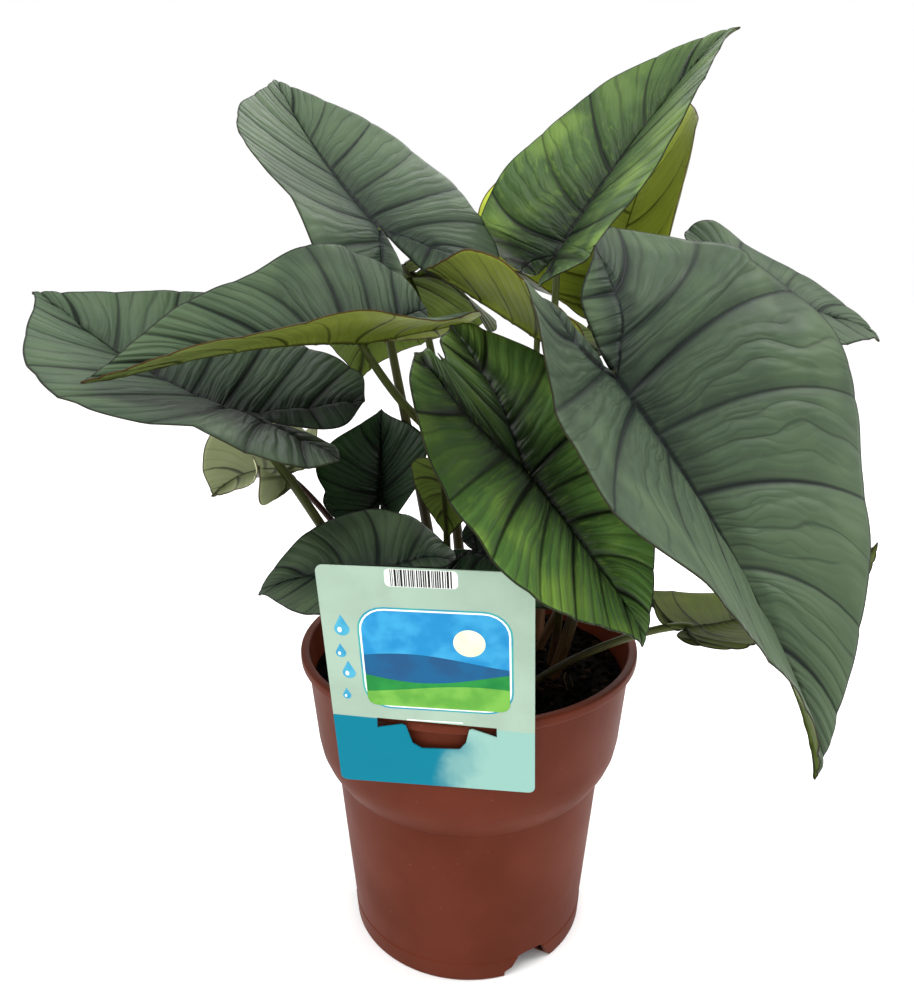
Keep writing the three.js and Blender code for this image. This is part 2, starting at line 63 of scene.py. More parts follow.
def rungs(start, rings, sides, flip=False):  # quads between rings of points
    faces = []
    for a in range(start, start + (rings - 1) * sides):
        b = a + 1 if (a + 1 - start) % sides else a + 1 - sides
        faces.append((a, a + sides, b + sides, b) if flip else (a, b, b + sides, a + sides))
    return faces


def sharpen(piece, degrees):  # keep edges steeper than this crisp
    work = bmesh.new()
    work.from_mesh(piece.data)
    for edge in work.edges:
        if len(edge.link_faces) == 2 and edge.calc_face_angle() > radians(degrees):
            edge.smooth = False
    work.to_mesh(piece.data)
    work.free()


def settle(piece, slot, *nodes):  # hand a finished piece to the frame
    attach(piece, "root")
    if nodes:
        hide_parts(*nodes)


def curveThrough(points, places):  # even Catmull-Rom curve; places run from 0 to 1
    pts = np.asarray(points, dtype=float)
    ends = np.vstack([2 * pts[0] - pts[1], pts, 2 * pts[-1] - pts[-2]])
    at = np.clip(places, 0, 1) * (len(pts) - 1)
    k = np.minimum(np.floor(at), len(pts) - 2).astype(int)
    w = (at - k)[..., None]
    a, b, c, d = (ends[k + n] for n in range(4))
    return 0.5 * (2 * b + (c - a) * w + (2 * a - 5 * b + 4 * c - d) * w ** 2
                  + (3 * b - a - 3 * c + d) * w ** 3)


def smooth(values):
    v = np.clip(values, 0, 1)
    return v * v * (3 - 2 * v)


# Helpers for materials

def rgb(hexColour):  # "#rrggbb" as the linear colour that a socket takes
    parts = [int(hexColour[i:i + 2], 16) / 255 for i in (1, 3, 5)]
    return [c / 12.92 if c <= 0.04045 else ((c + 0.055) / 1.055) ** 2.4 for c in parts] + [1]


def feed(tree, socket, value):
    if isinstance(value, bpy.types.NodeSocket):
        tree.links.new(value, socket)
    elif isinstance(value, str):
        socket.default_value = rgb(value)
    else:
        socket.default_value = value


def calc(tree, operation, *values):
    node = tree.nodes.new("ShaderNodeMath")
    node.operation = operation
    for socket, value in zip(node.inputs, values):
        feed(tree, socket, value)
    return node.outputs[0]


def ramp(tree, value, low, high, top=1.0, bottom=0.0):  # eases from bottom at low to top at high
    node = tree.nodes.new("ShaderNodeMapRange")
    node.interpolation_type = "SMOOTHSTEP"
    for socket, setting in zip(("Value", "From Min", "From Max", "To Min", "To Max"),
                               (value, low, high, bottom, top)):
        feed(tree, node.inputs[socket], setting)
    return node.outputs["Result"]


def blend(tree, share, first, second):
    node = tree.nodes.new("ShaderNodeMix")
    node.data_type = "RGBA"
    feed(tree, node.inputs[0], share)
    feed(tree, node.inputs[6], first)
    feed(tree, node.inputs[7], second)
    return node.outputs[2]


def noise(tree, vector, scale, detail=2.0, distortion=0.0):
    node = tree.nodes.new("ShaderNodeTexNoise")
    feed(tree, node.inputs["Vector"], vector)
    for socket, value in (("Scale", scale), ("Detail", detail), ("Distortion", distortion)):
        node.inputs[socket].default_value = value
    return node.outputs["Fac"]


def layer(tree, name):  # a UV layer and its two numbers
    node = tree.nodes.new("ShaderNodeUVMap")
    node.uv_map = name
    split = tree.nodes.new("ShaderNodeSeparateXYZ")
    tree.links.new(node.outputs[0], split.inputs[0])
    return node.outputs[0], split.outputs[0], split.outputs[1]


def relief(tree, shader, height, distance, strength):
    node = tree.nodes.new("ShaderNodeBump")
    node.inputs["Strength"].default_value = strength
    node.inputs["Distance"].default_value = distance
    tree.links.new(height, node.inputs["Height"])
    tree.links.new(node.outputs[0], shader.inputs["Normal"])


def newMaterial(name, **settings):
    material = bpy.data.materials.new(name)
    material.use_nodes = True
    shader = material.node_tree.nodes["Principled BSDF"]
    for socket, value in settings.items():
        feed(material.node_tree, shader.inputs[socket.replace("_", " ")], value)
    return material, material.node_tree, shader


def mottled(name, first, second, scale, edges, detail=3.0, distortion=0.0, **settings):
    material, tree, shader = newMaterial(name, **settings)
    spot = tree.nodes.new("ShaderNodeTexCoord").outputs["Object"]
    grain = noise(tree, spot, scale, detail, distortion)
    tree.links.new(blend(tree, ramp(tree, grain, *edges), first, second), shader.inputs["Base Color"])
    return material, tree, shader, grain


def newGroup(name, inputs, outputs):
    group = bpy.data.node_groups.new(name, "ShaderNodeTree")
    for socket, value in inputs.items():
        made = group.interface.new_socket(socket, in_out="INPUT", socket_type="NodeSocketFloat")
        made.default_value = value
    for socket in outputs:
        group.interface.new_socket(socket, in_out="OUTPUT", socket_type="NodeSocketFloat")
    return group, group.nodes.new("NodeGroupInput").outputs, group.nodes.new("NodeGroupOutput").inputs


def useGroup(tree, group, **settings):
    node = tree.nodes.new("ShaderNodeGroup")
    node.node_tree = group
    for socket, value in settings.items():
        feed(tree, node.inputs[socket], value)
    return node.outputs


# Camera and light

view = dict(
    place=(0.0, -0.4205, 0.3653), down=17.4, left=0.82, lens=32.4, sensor=36.0,
)
camera = bpy.data.objects.new("camera", bpy.data.cameras.new("camera"))
camera.data.lens = view["lens"]
camera.data.sensor_width = view["sensor"]
camera.data.clip_start = 0.01
camera.location = view["place"]
camera.rotation_euler = (radians(90 - view["down"]), 0, radians(view["left"]))
bpy.context.scene.collection.objects.link(camera)
bpy.context.scene.camera = camera

studio = [
    dict(name="topLight", at=(-0.35, -0.45, 1.35), watts=15, size=0.9, aim=(0, 0, 0.25)),
    dict(name="sideLight", at=(1.1, 0.1, 1.25), watts=14, size=0.8, aim=(0, 0, 0.2)),
    dict(name="backLight", at=(0.1, 1.1, 0.9), watts=5, size=0.9, aim=(0, 0, 0.3)),
]
for lamp in studio:
    light = bpy.data.lights.new(lamp["name"], "AREA")
    light.energy = lamp["watts"]
    light.size = lamp["size"]
    holder = bpy.data.objects.new(lamp["name"], light)
    holder.location = lamp["at"]
    toward = Vector(lamp["aim"]) - Vector(lamp["at"])
    holder.rotation_euler = toward.to_track_quat("-Z", "Y").to_euler()
    bpy.context.scene.collection.objects.link(holder)

sky = bpy.data.worlds.new("studioSky")
sky.use_nodes = True
sky.node_tree.nodes["Background"].inputs["Color"].default_value = rgb("#ffffff")
sky.node_tree.nodes["Background"].inputs["Strength"].default_value = 1.0
bpy.context.scene.world = sky
bpy.context.scene.view_settings.view_transform = "Standard"

floorMaterial, _, _ = newMaterial("floorPaint", Base_Color="#ffffff", Roughness=1.0)
floor = addMesh("floor", [(-4, -4, 0), (4, -4, 0), (4, 4, 0), (-4, 4, 0)], [(0, 1, 2, 3)], [floorMaterial])
print("camera, light and floor ready")


# Leaves: the same blades as the frame's, finer, quilted between their veins

# "at" is the top of the stalk, "turn" is roll, pitch and heading in degrees; paired values are for the
# left and right half; "stem" is the stalk's foot in plan and its two control points
leaves = [
    dict(name="front_right", tone="sage", at=[56, -72, 306], turn=[49, -50, -12], length=181, width=87,
         lobe=38, fullness=0.41, bend=-2, tip=28, side=-24, twist=-17, fold=[16, 42], curl=[-24, 1],
         back=[31, -16], spread=[-38, 14], wave=-3, phase=[90, 8],
         stem=[[38, -14], [78, -22, 265], [52, -48, 306]]),
    dict(name="top_right", tone="bright", at=[44, 63, 346], turn=[31, 56, 18], length=166, width=56,
         lobe=15, fullness=0.12, bend=21, tip=18, side=3, twist=5, fold=[6, 42], curl=[-2, -11],
         back=[-15, -18], spread=[-26, 15], wave=2, phase=[-25, 58],
         stem=[[36, 22], [46, 62, 214], [47, 108, 310]]),
    dict(name="back_right", tone="olive", at=[79, 104, 321], turn=[-4, 109, -128], length=138, width=67,
         lobe=18, fullness=0.55, bend=-22, tip=0, side=4, twist=-8, fold=[-19, -25], curl=[-33, -21],
         back=[15, -25], spread=[10, -26], wave=-1, phase=[18, -18],
         stem=[[20, 17], [35, 45, 208], [60, 77, 313]]),
    dict(name="top_left", tone="sage", at=[-46, 60, 359], turn=[-15, 31, 130], length=163, width=61,
         lobe=46, fullness=0.2, bend=-1, tip=8, side=-13, fold=[28, 11], curl=[10, -32], back=[-66, 19],
         spread=[-10, -16], wave=1, phase=[6, -3], stem=[[-13, 27], [-16, 24, 215], [-48, 34, 315]]),
    dict(name="centre", tone="fresh", at=[21, -83, 273], turn=[26, -50, -11], joined=55, length=90,
         width=51, lobe=61, fullness=0.08, bend=8, tip=25, side=-1, twist=8, fold=[20, 11],
         curl=[-10, -6], back=[1, 10], spread=[-26, 10], stem=[[41, 4], [52, -12, 205], [37, -53, 264]]),
    dict(name="left_folded", tone="sage", at=[-46, -19, 313], turn=[-26, 6, -145], length=121, width=54,
         lobe=42, fullness=-0.24, bend=23, tip=-17, side=3, twist=-8, fold=[57, 32], curl=[-26, -11],
         back=[11, -2], spread=[-4, -17], wave=4, phase=[-73, -35],
         stem=[[7, 13], [4, -2, 300], [-9, 11, 232]]),
    dict(name="left_low", tone="shadedSage", at=[-103, -24, 281], turn=[6, 19, 175], length=119, width=65,
         lobe=53, fullness=0.36, bend=-19, tip=13, side=-20, twist=-16, fold=[9, 34], curl=[-15, -10],
         back=[3, 17], spread=[-5, -2], stem=[[-17, -14], [-62, -12, 205], [-76, -34, 254]]),
    dict(name="inner_dark", tone="dark", at=[-44, 4, 232], turn=[-13, 35, 93], length=60, width=28,
         lobe=24, fullness=0.4, bend=-7, tip=13, side=0, twist=3, fold=[34, 35], curl=[-10, -6],
         back=[16, 11], spread=[4, 10], stem=[[0, 4], [-21, 2, 178], [-34, 4, 199]]),
    dict(name="front_left", tone="sage", at=[-34, -57, 220], turn=[-20, -4, 171], length=69, width=32,
         lobe=27, fullness=0.18, bend=25, tip=18, side=-1, twist=-25, fold=[14, 17], curl=[4, -15],
         back=[-36, -4], spread=[-29, -36], wave=1, phase=[1, -1],
         stem=[[-4, -16], [-12, -26, 168], [-27, -50, 197]]),
    dict(name="centre_folded", tone="olive", at=[31, -33, 316], turn=[-19, 28, 155], length=66, width=38,
         lobe=24, fullness=0.4, bend=8, tip=8, side=-9, twist=7, fold=[55, 5], curl=[0, -35],
         back=[10, 0], spread=[0, 0], stem=[[30, 1], [31, -18, 188], [29, -15, 250]]),
    dict(name="right_back", tone="sage", at=[133, 18, 330], turn=[22, -11, 23], length=87, width=52,
         lobe=24, fullness=-0.29, bend=6, tip=18, side=-8, twist=-1, fold=[24, -7], curl=[-15, -22],
         back=[0, -33], spread=[-4, -13], wave=2, phase=[82, -1],
         stem=[[30, 14], [64, 12, 214], [112, 14, 284]]),
    dict(name="right_low", tone="olive", at=[98, -51, 189], turn=[143, -4, 20], length=125, width=48,
         lobe=12, fullness=-0.25, bend=30, tip=10, side=4, twist=-3, fold=[27, -31], curl=[-16, -18],
         back=[24, -12], spread=[2, -22], footRadius=1.8,
         stem=[[18, -23], [27, -27, 155], [84, -52, 195]]),
    dict(name="far_left", tone="olive", at=[-89, -8, 250], turn=[-136, 6, 178], length=37, width=50,
         lobe=11, fullness=0.6, bend=-67, tip=8, side=-12, twist=-4, fold=[-45, 36], curl=[-20, -22],
         back=[-2, 18], spread=[-10, 23], stem=[[-18, 5], [-39, 3, 178], [-72, 1, 236]]),
    dict(name="back_left", tone="olive", at=[-34, 105, 334], turn=[3, -24, 126], length=102, width=59,
         lobe=33, fullness=0, bend=42, tip=14, side=-6, fold=[-6, -16], curl=[-21, -24], back=[7, -25],
         spread=[-10, -21], stem=[[-1, 31], [-4, 50, 200], [-20, 88, 314]]),
    dict(name="small_hanging", tone="olive", at=[-11, -48, 258], turn=[205, -109, -92], length=33,
         width=16, lobe=8, fullness=0, bend=0, tip=10, side=-4, fold=[7, 8], curl=[-20, -19],
         back=[11, 15], spread=[2, 3], stem=[[-13, -5], [-8, -12, 195], [-11, -55, 279]]),
    dict(name="low_centre", tone="dark", at=[3, -38, 221], turn=[24, -1, -45], length=56, width=30,
         lobe=15, fullness=0, bend=30, tip=12, side=-3, fold=[12, -2], curl=[-20, -22], back=[13, -10],
         spread=[2, -12], stem=[[11, 0], [8, -15, 176], [1, -35, 207]]),
]
plainLeaf = dict(wave=0, phase=[0, 0], twist=0, joined=0)  # where a leaf says nothing else

# each of the "veins" is one side vein, from the leaf's tip to the tip of its back lobe: where it starts
# on the midrib or the lobe's rib (below 0), and where it ends on the margin
leafPlan = dict(
    veins=[(1, 1, 0), (0.88, 0.95, 0.05), (0.72, 0.86, 0.17), (0.55, 0.73, 0.37), (0.38, 0.57, 0.6),
           (0.23, 0.38, 0.8), (0.1, 0.17, 0.94), (0, -0.12, 1), (-0.33, -0.53, 0.97),
           (-0.66, -0.88, 0.78), (-1, -1, 0.44)],
    lobeRib=[(0, 0), (-0.5, 0.25), (-1, 0.44)], sinus=[(0, 0), (-0.45, 0.04), (-0.86, 0.15), (-1, 0.44)],
    lobeFrom=0.7, lobeBlend=0.35, tipStart=0.7, midribSteps=40,
)
blade = dict(
    halfThickness=0.38, largeFrom=130, quilt=0.03, ridge=1.3, ribHalf=1.5, bow=0.03, sway=0.012,
    groove=0.35, sideGroove=0.245, sideRidge=0.3, veinHalf=0.8, scallop=0.02, lean=0.3, columnEase=1.4,
    halfShift=0.3, marginWidth=0.8, marginThin=0.45,
    large=dict(rows=140, columns=36, rear=8, veins=9),
    small=dict(rows=70, columns=24, rear=6, veins=6),
)
patternKeys = ("vein", "t", "gap", "spine", "rim", "rib")


def midrib(leaf):
    u = np.linspace(0, 1, leafPlan["midribSteps"] + 1)
    tipShare = np.maximum(u - leafPlan["tipStart"], 0) / (1 - leafPlan["tipStart"])
    rise = np.radians(-leaf["bend"] * u - leaf["tip"] * tipShare ** 2)
    swing = np.radians(leaf["side"] * u)
    ahead = np.stack([np.cos(rise) * np.cos(swing), np.cos(rise) * np.sin(swing), np.sin(rise)], -1)
    steps = (ahead[1:] + ahead[:-1]) / 2 * leaf["length"] / leafPlan["midribSteps"]
    return u, rise, swing, np.vstack([np.zeros(3), np.cumsum(steps, axis=0)])


def surface(leaf, x, y, half, lift):  # plan place and lift to a point in the leaf's own frame
    u, rises, swings, spine = midrib(leaf)
    front = np.clip(x / leaf["length"], 0, 1)
    origin = np.stack([np.interp(front, u, spine[:, k]) for k in range(3)], -1)
    rise, swing = np.interp(front, u, rises), np.interp(front, u, swings)
    back = np.maximum(-x / leaf["lobe"], 0)
    mean = sum(leaf["back"]) / 2
    own = mean + (leaf["back"][half] - mean) * smooth(y / (leafPlan["lobeBlend"] * leaf["width"]))
    angle = np.radians(own) * back
    angle = np.where(np.abs(angle) < 1e-5, 1e-5, angle)
    behind = x < 0
    origin[..., 0] = np.where(behind, x * np.sin(angle) / angle, origin[..., 0])
    origin[..., 2] = np.where(behind, -x * (1 - np.cos(angle)) / angle, origin[..., 2])
    rise, swing = np.where(behind, -angle, rise), np.where(behind, 0, swing)
    ahead = np.stack([np.cos(rise) * np.cos(swing), np.cos(rise) * np.sin(swing), np.sin(rise)], -1)
    level = np.stack([-np.sin(swing), np.cos(swing), np.zeros_like(swing)], -1)
    up = np.cross(ahead, level)
    turn = (np.radians(leaf["twist"]) * front)[..., None]
    level, up = (level * np.cos(turn) + np.cross(ahead, level) * np.sin(turn),
                 up * np.cos(turn) + np.cross(ahead, up) * np.sin(turn))
    fold = np.radians(leaf["fold"][half] + leaf["spread"][half] * smooth(back))
    curl = (radians(leaf["curl"][half]) or 1e-4) / leaf["width"]
    out = (np.sin(fold + curl * y) - np.sin(fold)) / curl
    wave = np.sin(4 * pi * x / leaf["length"] + radians(leaf["phase"][half]))
    height = (np.cos(fold) - np.cos(fold + curl * y)) / curl + lift
    height = height + leaf["wave"] * wave * (y / leaf["width"]) ** 2
    side = 1 if half == 0 else -1
    return origin + level * (side * out)[..., None] + up * height[..., None]


def bladeGrids(leaf, half):  # plan grids of one half, with what the vein pattern needs
    detail = blade[sizeOf(leaf)]
    rows, veins = detail["rows"], detail["veins"]

    def onPlan(x, y):
        return np.where(x > 0, x * leaf["length"], x * leaf["lobe"]), y * leaf["width"]

    def gridOf(x, y, t, vein, length, first=0):  # first is the row where the grid begins
        flat = 0 * x
        return {"x": x, "y": y, "t": t + flat, "vein": vein + flat, "spine": t * length,
                "rim": (1 - t) * length, "rib": taper[first:] + flat, "s": s[first:] + flat}

    s = np.linspace(0, 1, rows + 1)[:, None]
    t = (np.linspace(0, 1, detail["columns"] + 1) ** blade["columnEase"])[None, :]
    begin = curveThrough(leafPlan["veins"], s)[..., 0]
    behind = np.maximum(-begin, 0)
    rib = curveThrough(leafPlan["lobeRib"], behind)
    ribX, ribY = onPlan(rib[..., 0], rib[..., 1])
    startX = np.where(begin >= 0, begin * leaf["length"], ribX)
    startY = np.where(begin >= 0, 0, ribY)
    sway = blade["sway"] * np.sin(6 * pi * s + 2 * half) * np.sin(pi * s) * t ** 2
    end = curveThrough(leafPlan["veins"], s + sway)
    f = np.clip(end[..., 1], 0, 1)
    number = veins * s + blade["halfShift"] * half
    lean = blade["lean"] * t ** 1.5 * smooth(s / 0.2) * smooth((0.85 - s) / 0.2)
    scallop = 1 + blade["scallop"] * (np.abs(np.sin(pi * number)) - 0.6) * smooth(s / 0.15)
    fullness = (1 + leaf["fullness"] * 4 * f * (1 - f)) * scallop
    endX, endY = onPlan(end[..., 1], np.maximum(end[..., 2], 0) * fullness)
    length = np.hypot(endX - startX, endY - startY)
    bow = blade["bow"] * (2 * smooth((s - 0.5) / 0.35) - 1) * length * 4 * t * (1 - t) * smooth(s / 0.1)
    taper = np.where(begin >= 0, 1 - 0.75 * np.maximum(begin, 0), 0.9 - 0.6 * behind)
    front = gridOf(startX + (endX - startX) * t + bow, startY + (endY - startY) * t, t,
                   number + lean, length)

    first = round(leafPlan["lobeFrom"] * rows)
    startX, startY = startX[first:], startY[first:]
    t = np.linspace(0, 1, detail["rear"] + 1)[None, :]
    lobePlace = np.clip(behind[first:], 0, 1)
    notch = curveThrough(leafPlan["sinus"], lobePlace)
    notchX, notchY = onPlan(notch[..., 0], notch[..., 1])
    notchX = notchX - leaf["joined"] * (1 - lobePlace) ** 2
    rear = gridOf(startX + (notchX - startX) * t, startY + (notchY - startY) * t, t, number[first:],
                  np.hypot(notchX - startX, notchY - startY), first)
    for grid in (front, rear):  # how far apart the side veins stand
        place = np.stack([grid["x"], grid["y"]], -1)
        down, across = np.gradient(place, axis=0), np.gradient(place, axis=1)
        area = np.abs(down[..., 0] * across[..., 1] - down[..., 1] * across[..., 0])
        grid["gap"] = area / np.maximum(np.hypot(across[..., 0], across[..., 1]), 1e-6) * rows / veins
    return front, rear


def quilting(leaf, grid, isFront):  # how far the blade swells up between its side veins
    wide = np.abs(np.sin(pi * grid["vein"])) ** 0.75
    narrow = np.abs(np.sin(2 * pi * grid["vein"]))
    fade = smooth(grid["gap"] / 9) * smooth((1 - grid["s"]) / 0.06) * smooth(grid["s"] / 0.06)
    across = smooth(grid["t"] / 0.14) * (1 - 0.5 * grid["t"] if isFront else smooth((1 - grid["t"]) / 0.2))
    return leaf["width"] * blade["quilt"] * (0.8 * wide + 0.2 * narrow) * fade * across


def sizeOf(leaf):
    return "large" if leaf["length"] + leaf["lobe"] > blade["largeFrom"] else "small"


def bladeSheet(leaf):  # every grid point of both halves, and the quads between them
    columns = {key: [] for key in ("plan", "point", *patternKeys)}
    quads, count = [], 0
    for half, side in enumerate((1, -1)):
        for grid, isFront in zip(bladeGrids(leaf, half), (True, False)):
            point = surface(leaf, grid["x"], grid["y"], half, quilting(leaf, grid, isFront))
            numbers = count + np.arange(grid["x"].size).reshape(grid["x"].shape)
            corners = np.stack([numbers[:-1, :-1], numbers[1:, :-1], numbers[1:, 1:], numbers[:-1, 1:]], -1)
            corners = corners.reshape(-1, 4)
            quads.append(corners[:, ::-1] if (half == 0) == isFront else corners)
            columns["plan"].append(np.stack([grid["x"], side * grid["y"]], -1).reshape(-1, 2))
            columns["point"].append(point.reshape(-1, 3))
            for key in patternKeys:
                columns[key].append(grid[key].ravel())
            count += grid["x"].size
    return {key: np.concatenate(parts) for key, parts in columns.items()}, np.concatenate(quads)


def bladeShell(quads, own, size):  # faces above and below, then the strip round the margin
    faces, slots, corners, edges = [], [], [], {}
    for quad, mine in zip(quads.tolist(), own.tolist()):
        kept = [k for k in range(4) if mine[k] != mine[k - 1]]
        if len(kept) < 3:
            continue
        faces.append([mine[k] for k in kept])
        faces.append([mine[k] + size for k in reversed(kept)])
        slots += [0, 1]
        corners += [quad[k] for k in kept] + [quad[k] for k in reversed(kept)]
        for a, b in zip(kept, kept[1:] + kept[:1]):
            if edges.pop((mine[b], mine[a]), None) is None:
                edges[(mine[a], mine[b])] = (quad[a], quad[b])
    for (p, q), (first, second) in edges.items():
        faces.append([q, p, p + size, q + size])
        slots.append(1)
        corners += [second, first, first, second]
    return faces, slots, np.array(corners)


def growBlade(leaf, upper, under):
    data, quads = bladeSheet(leaf)
    rounded = np.round(data["plan"], 3) + 0.0
    _, firsts, merged = np.unique(rounded, axis=0, return_index=True, return_inverse=True)
    merged = merged.ravel()
    points = data["point"][firsts]
    own = merged[quads]
    normals = np.zeros_like(points)
    faceNormals = np.cross(points[own[:, 2]] - points[own[:, 0]], points[own[:, 3]] - points[own[:, 1]])
    for k in range(4):
        np.add.at(normals, own[:, k], faceNormals)
    normals /= np.maximum(np.linalg.norm(normals, axis=1, keepdims=True), 1e-9)

    def strongest(values):  # one value for each merged point
        best = np.zeros(len(points))
        np.maximum.at(best, merged, values)
        return best

    fromVein = np.abs(data["vein"] - np.round(data["vein"])) * data["gap"]
    ribShape = data["rib"] * np.exp(-(data["spine"] / (blade["ribHalf"] * data["rib"])) ** 2)
    veinShape = np.exp(-(fromVein / blade["veinHalf"]) ** 2) * (1 - 0.7 * data["t"])
    veinShape *= smooth(data["gap"] / 6)
    alongRib, alongVein = strongest(ribShape), strongest(veinShape)
    margin = strongest(np.exp(-data["rim"] / blade["marginWidth"]))
    thick = blade["halfThickness"] * (1 - blade["marginThin"] * margin)
    above = thick - blade["groove"] * alongRib - blade["sideGroove"] * alongVein
    below = thick + blade["ridge"] * alongRib + blade["sideRidge"] * alongVein
    solid = np.vstack([points + normals * above[:, None], points - normals * below[:, None]])
    roll, pitch, heading = (radians(angle) for angle in leaf["turn"])
    matrix = np.array(Euler([roll, -pitch, heading]).to_matrix())
    solid = (solid @ matrix.T + np.array(leaf["at"])) * mm

    faces, slots, pick = bladeShell(quads, own, len(points))
    layers = {"plan": None, "veinPlace": ("vein", "t"), "veinGap": ("gap", "spine"), "rim": ("rim", "rib")}
    uvs = {name: np.stack([data[key][pick] for key in keys], -1) if keys else data[name][pick]
           for name, keys in layers.items()}
    return addMesh("leaf_" + leaf["name"], solid, faces, [upper, under], slots, uvs), matrix


# The vein pattern that every leaf material uses. Lengths are millimetres on the leaf's plan. A mask's
# numbers are where it starts, where it ends and, where they aren't 1 and 0, its end and start values.
# "lines" fit between two side veins, and "bends" and "breaks" say where a noise is read.

pattern = dict(
    besideVein=(0.0, 0.3), pillow=(0.0, 0.4), finePillow=(0.0, 0.45), fineEdge=(1.5, 0.0),
    everyOther=(0.7, 0.3, 1.0, 0.75), sideTaper=(0.0, 1.0, 0.35, 0.8), sideEdge=(1.8, 0.2),
    sideFade=(0.5, 1.0, 0.75, 1.0), spineEdge=(1.7, 0.5), wideGaps=(5.5, 14.0), sideShade=(6.5, 0.0),
    shadeFade=(0.0, 1.0, 0.4, 0.85), spineShade=(17.0, 0.0), hub=(42.0, 4.0), ahead=(25.0, 95.0),
    behind=(14.0, -30.0), rim=(0.95, 0.35), patchScale=0.035, patches=(0.4, 0.65), patchFade=(0.15, 0.9),
    hairs=(0.12, 8.0, 2.0), combFade=(0.7, 0.05, 0.45, 0.1), lesserHeight=0.9, combHeight=0.2,
    hairHeight=0.15, veinDepth=0.4,
    lesser=dict(lines=4.0, width=1.0, swing=1.7, bends=(0.028, 0.9, 3.0), breaks=(0.012, 3.7, 5.0),
                broken=(0.35, 0.65, 0.8, 0.1)),
    comb=dict(lines=9.0, width=0.8, swing=2.4, bends=(0.05, 1.6, 8.0), breaks=(0.02, 2.3, 9.0),
              broken=(0.35, 0.6, 1.0, 0.2)),
)
veinGroup, given, out = newGroup(
    "leafVeins", {"mainWidth": 1.5, "fineWidth": 0.6, "wander": 1.0, "reach": 1.0},
    ["veins", "fine", "shade", "hub", "ahead", "behind", "rim", "patches", "hairs", "relief"])
planUv, planX, planY = layer(veinGroup, "plan")
_, veinNumber, outward = layer(veinGroup, "veinPlace")
_, gapWidth, fromSpine = layer(veinGroup, "veinGap")
_, fromRim, ribTaper = layer(veinGroup, "rim")


def veinCalc(operation, *values):
    return calc(veinGroup, operation, *values)


def times(first, *others):
    for other in others:
        first = veinCalc("MULTIPLY", first, other)
    return first


def mask(value, name):
    return ramp(veinGroup, value, *pattern[name])


def veinNoise(along, across, shift, detail, distortion=0.0):  # read along the side veins and across them
    node = veinGroup.nodes.new("ShaderNodeCombineXYZ")
    veinGroup.links.new(times(fromSpine, along), node.inputs[0])
    veinGroup.links.new(veinCalc("MULTIPLY_ADD", veinNumber, across, shift), node.inputs[1])
    return noise(veinGroup, node.outputs[0], 1.0, detail, distortion)


def fineLines(look):  # thin bent veins, broken here and there, and the pillows between them
    swing = times(veinCalc("SUBTRACT", veinNoise(*look["bends"], 1.0), 0.5), given["wander"],
                  look["swing"], mask(nearMain, "besideVein"))
    near = veinCalc("PINGPONG", veinCalc("MULTIPLY_ADD", veinNumber, look["lines"], swing), 0.5)
    distance = times(near, veinCalc("DIVIDE", gapWidth, look["lines"]))
    line = mask(veinCalc("DIVIDE", distance, times(given["fineWidth"], look["width"])), "fineEdge")
    broken = ramp(veinGroup, veinNoise(*look["breaks"], 0.0), *look["broken"])
    return times(line, broken), mask(near, "finePillow")


# main side veins and the midrib
nearMain = veinCalc("PINGPONG", veinNumber, 0.5)
mainDistance = times(nearMain, gapWidth)
everyOther = mask(veinCalc("PINGPONG", veinNumber, 1.0), "everyOther")
mainHalf = times(given["mainWidth"], mask(outward, "sideTaper"), everyOther)
mainMask = mask(veinCalc("DIVIDE", mainDistance, mainHalf), "sideEdge")
mainMask = times(mainMask, everyOther, mask(outward, "sideFade"))
spineHalf = times(given["mainWidth"], ribTaper)
bigVeins = veinCalc("MAXIMUM", mainMask, mask(veinCalc("DIVIDE", fromSpine, spineHalf), "spineEdge"))

# lesser veins: bent ones between the side veins and a comb of short ones by the midrib
wideGaps = mask(gapWidth, "wideGaps")
lesser, widePillow = fineLines(pattern["lesser"])
comb, thinPillow = fineLines(pattern["comb"])
fineMask = times(veinCalc("MAXIMUM", lesser, times(comb, mask(outward, "combFade"))), wideGaps)

# painted shade along the big veins, round the stalk and on the back lobes, paler patches between them, and
# hairs
sideShade = mask(veinCalc("DIVIDE", mainDistance, given["reach"]), "sideShade")
sideShade = times(sideShade, everyOther, mask(outward, "shadeFade"))
spineShade = mask(veinCalc("DIVIDE", fromSpine, given["reach"]), "spineShade")
fromHub = veinCalc("SQRT", veinCalc("ADD", times(planX, planX), times(planY, planY)))
patches = mask(noise(veinGroup, planUv, pattern["patchScale"], 1.0, 0.3), "patches")
hairs = veinNoise(*pattern["hairs"], 3.0, 0.5)
height = veinCalc("MULTIPLY_ADD", widePillow, pattern["lesserHeight"], mask(nearMain, "pillow"))
height = times(veinCalc("MULTIPLY_ADD", thinPillow, pattern["combHeight"], height), wideGaps)
height = veinCalc("MULTIPLY_ADD", hairs, pattern["hairHeight"], height)
sunk = times(veinCalc("MAXIMUM", bigVeins, fineMask), pattern["veinDepth"])
results = {
    "veins": bigVeins, "fine": fineMask, "shade": veinCalc("MAXIMUM", sideShade, spineShade),
    "hub": mask(veinCalc("DIVIDE", fromHub, given["reach"]), "hub"), "ahead": mask(planX, "ahead"),
    "behind": mask(planX, "behind"), "rim": mask(fromRim, "rim"), "hairs": hairs,
    "patches": times(patches, mask(outward, "patchFade")), "relief": veinCalc("SUBTRACT", height, sunk),
}
for socket, value in results.items():
    veinGroup.links.new(value, out[socket])
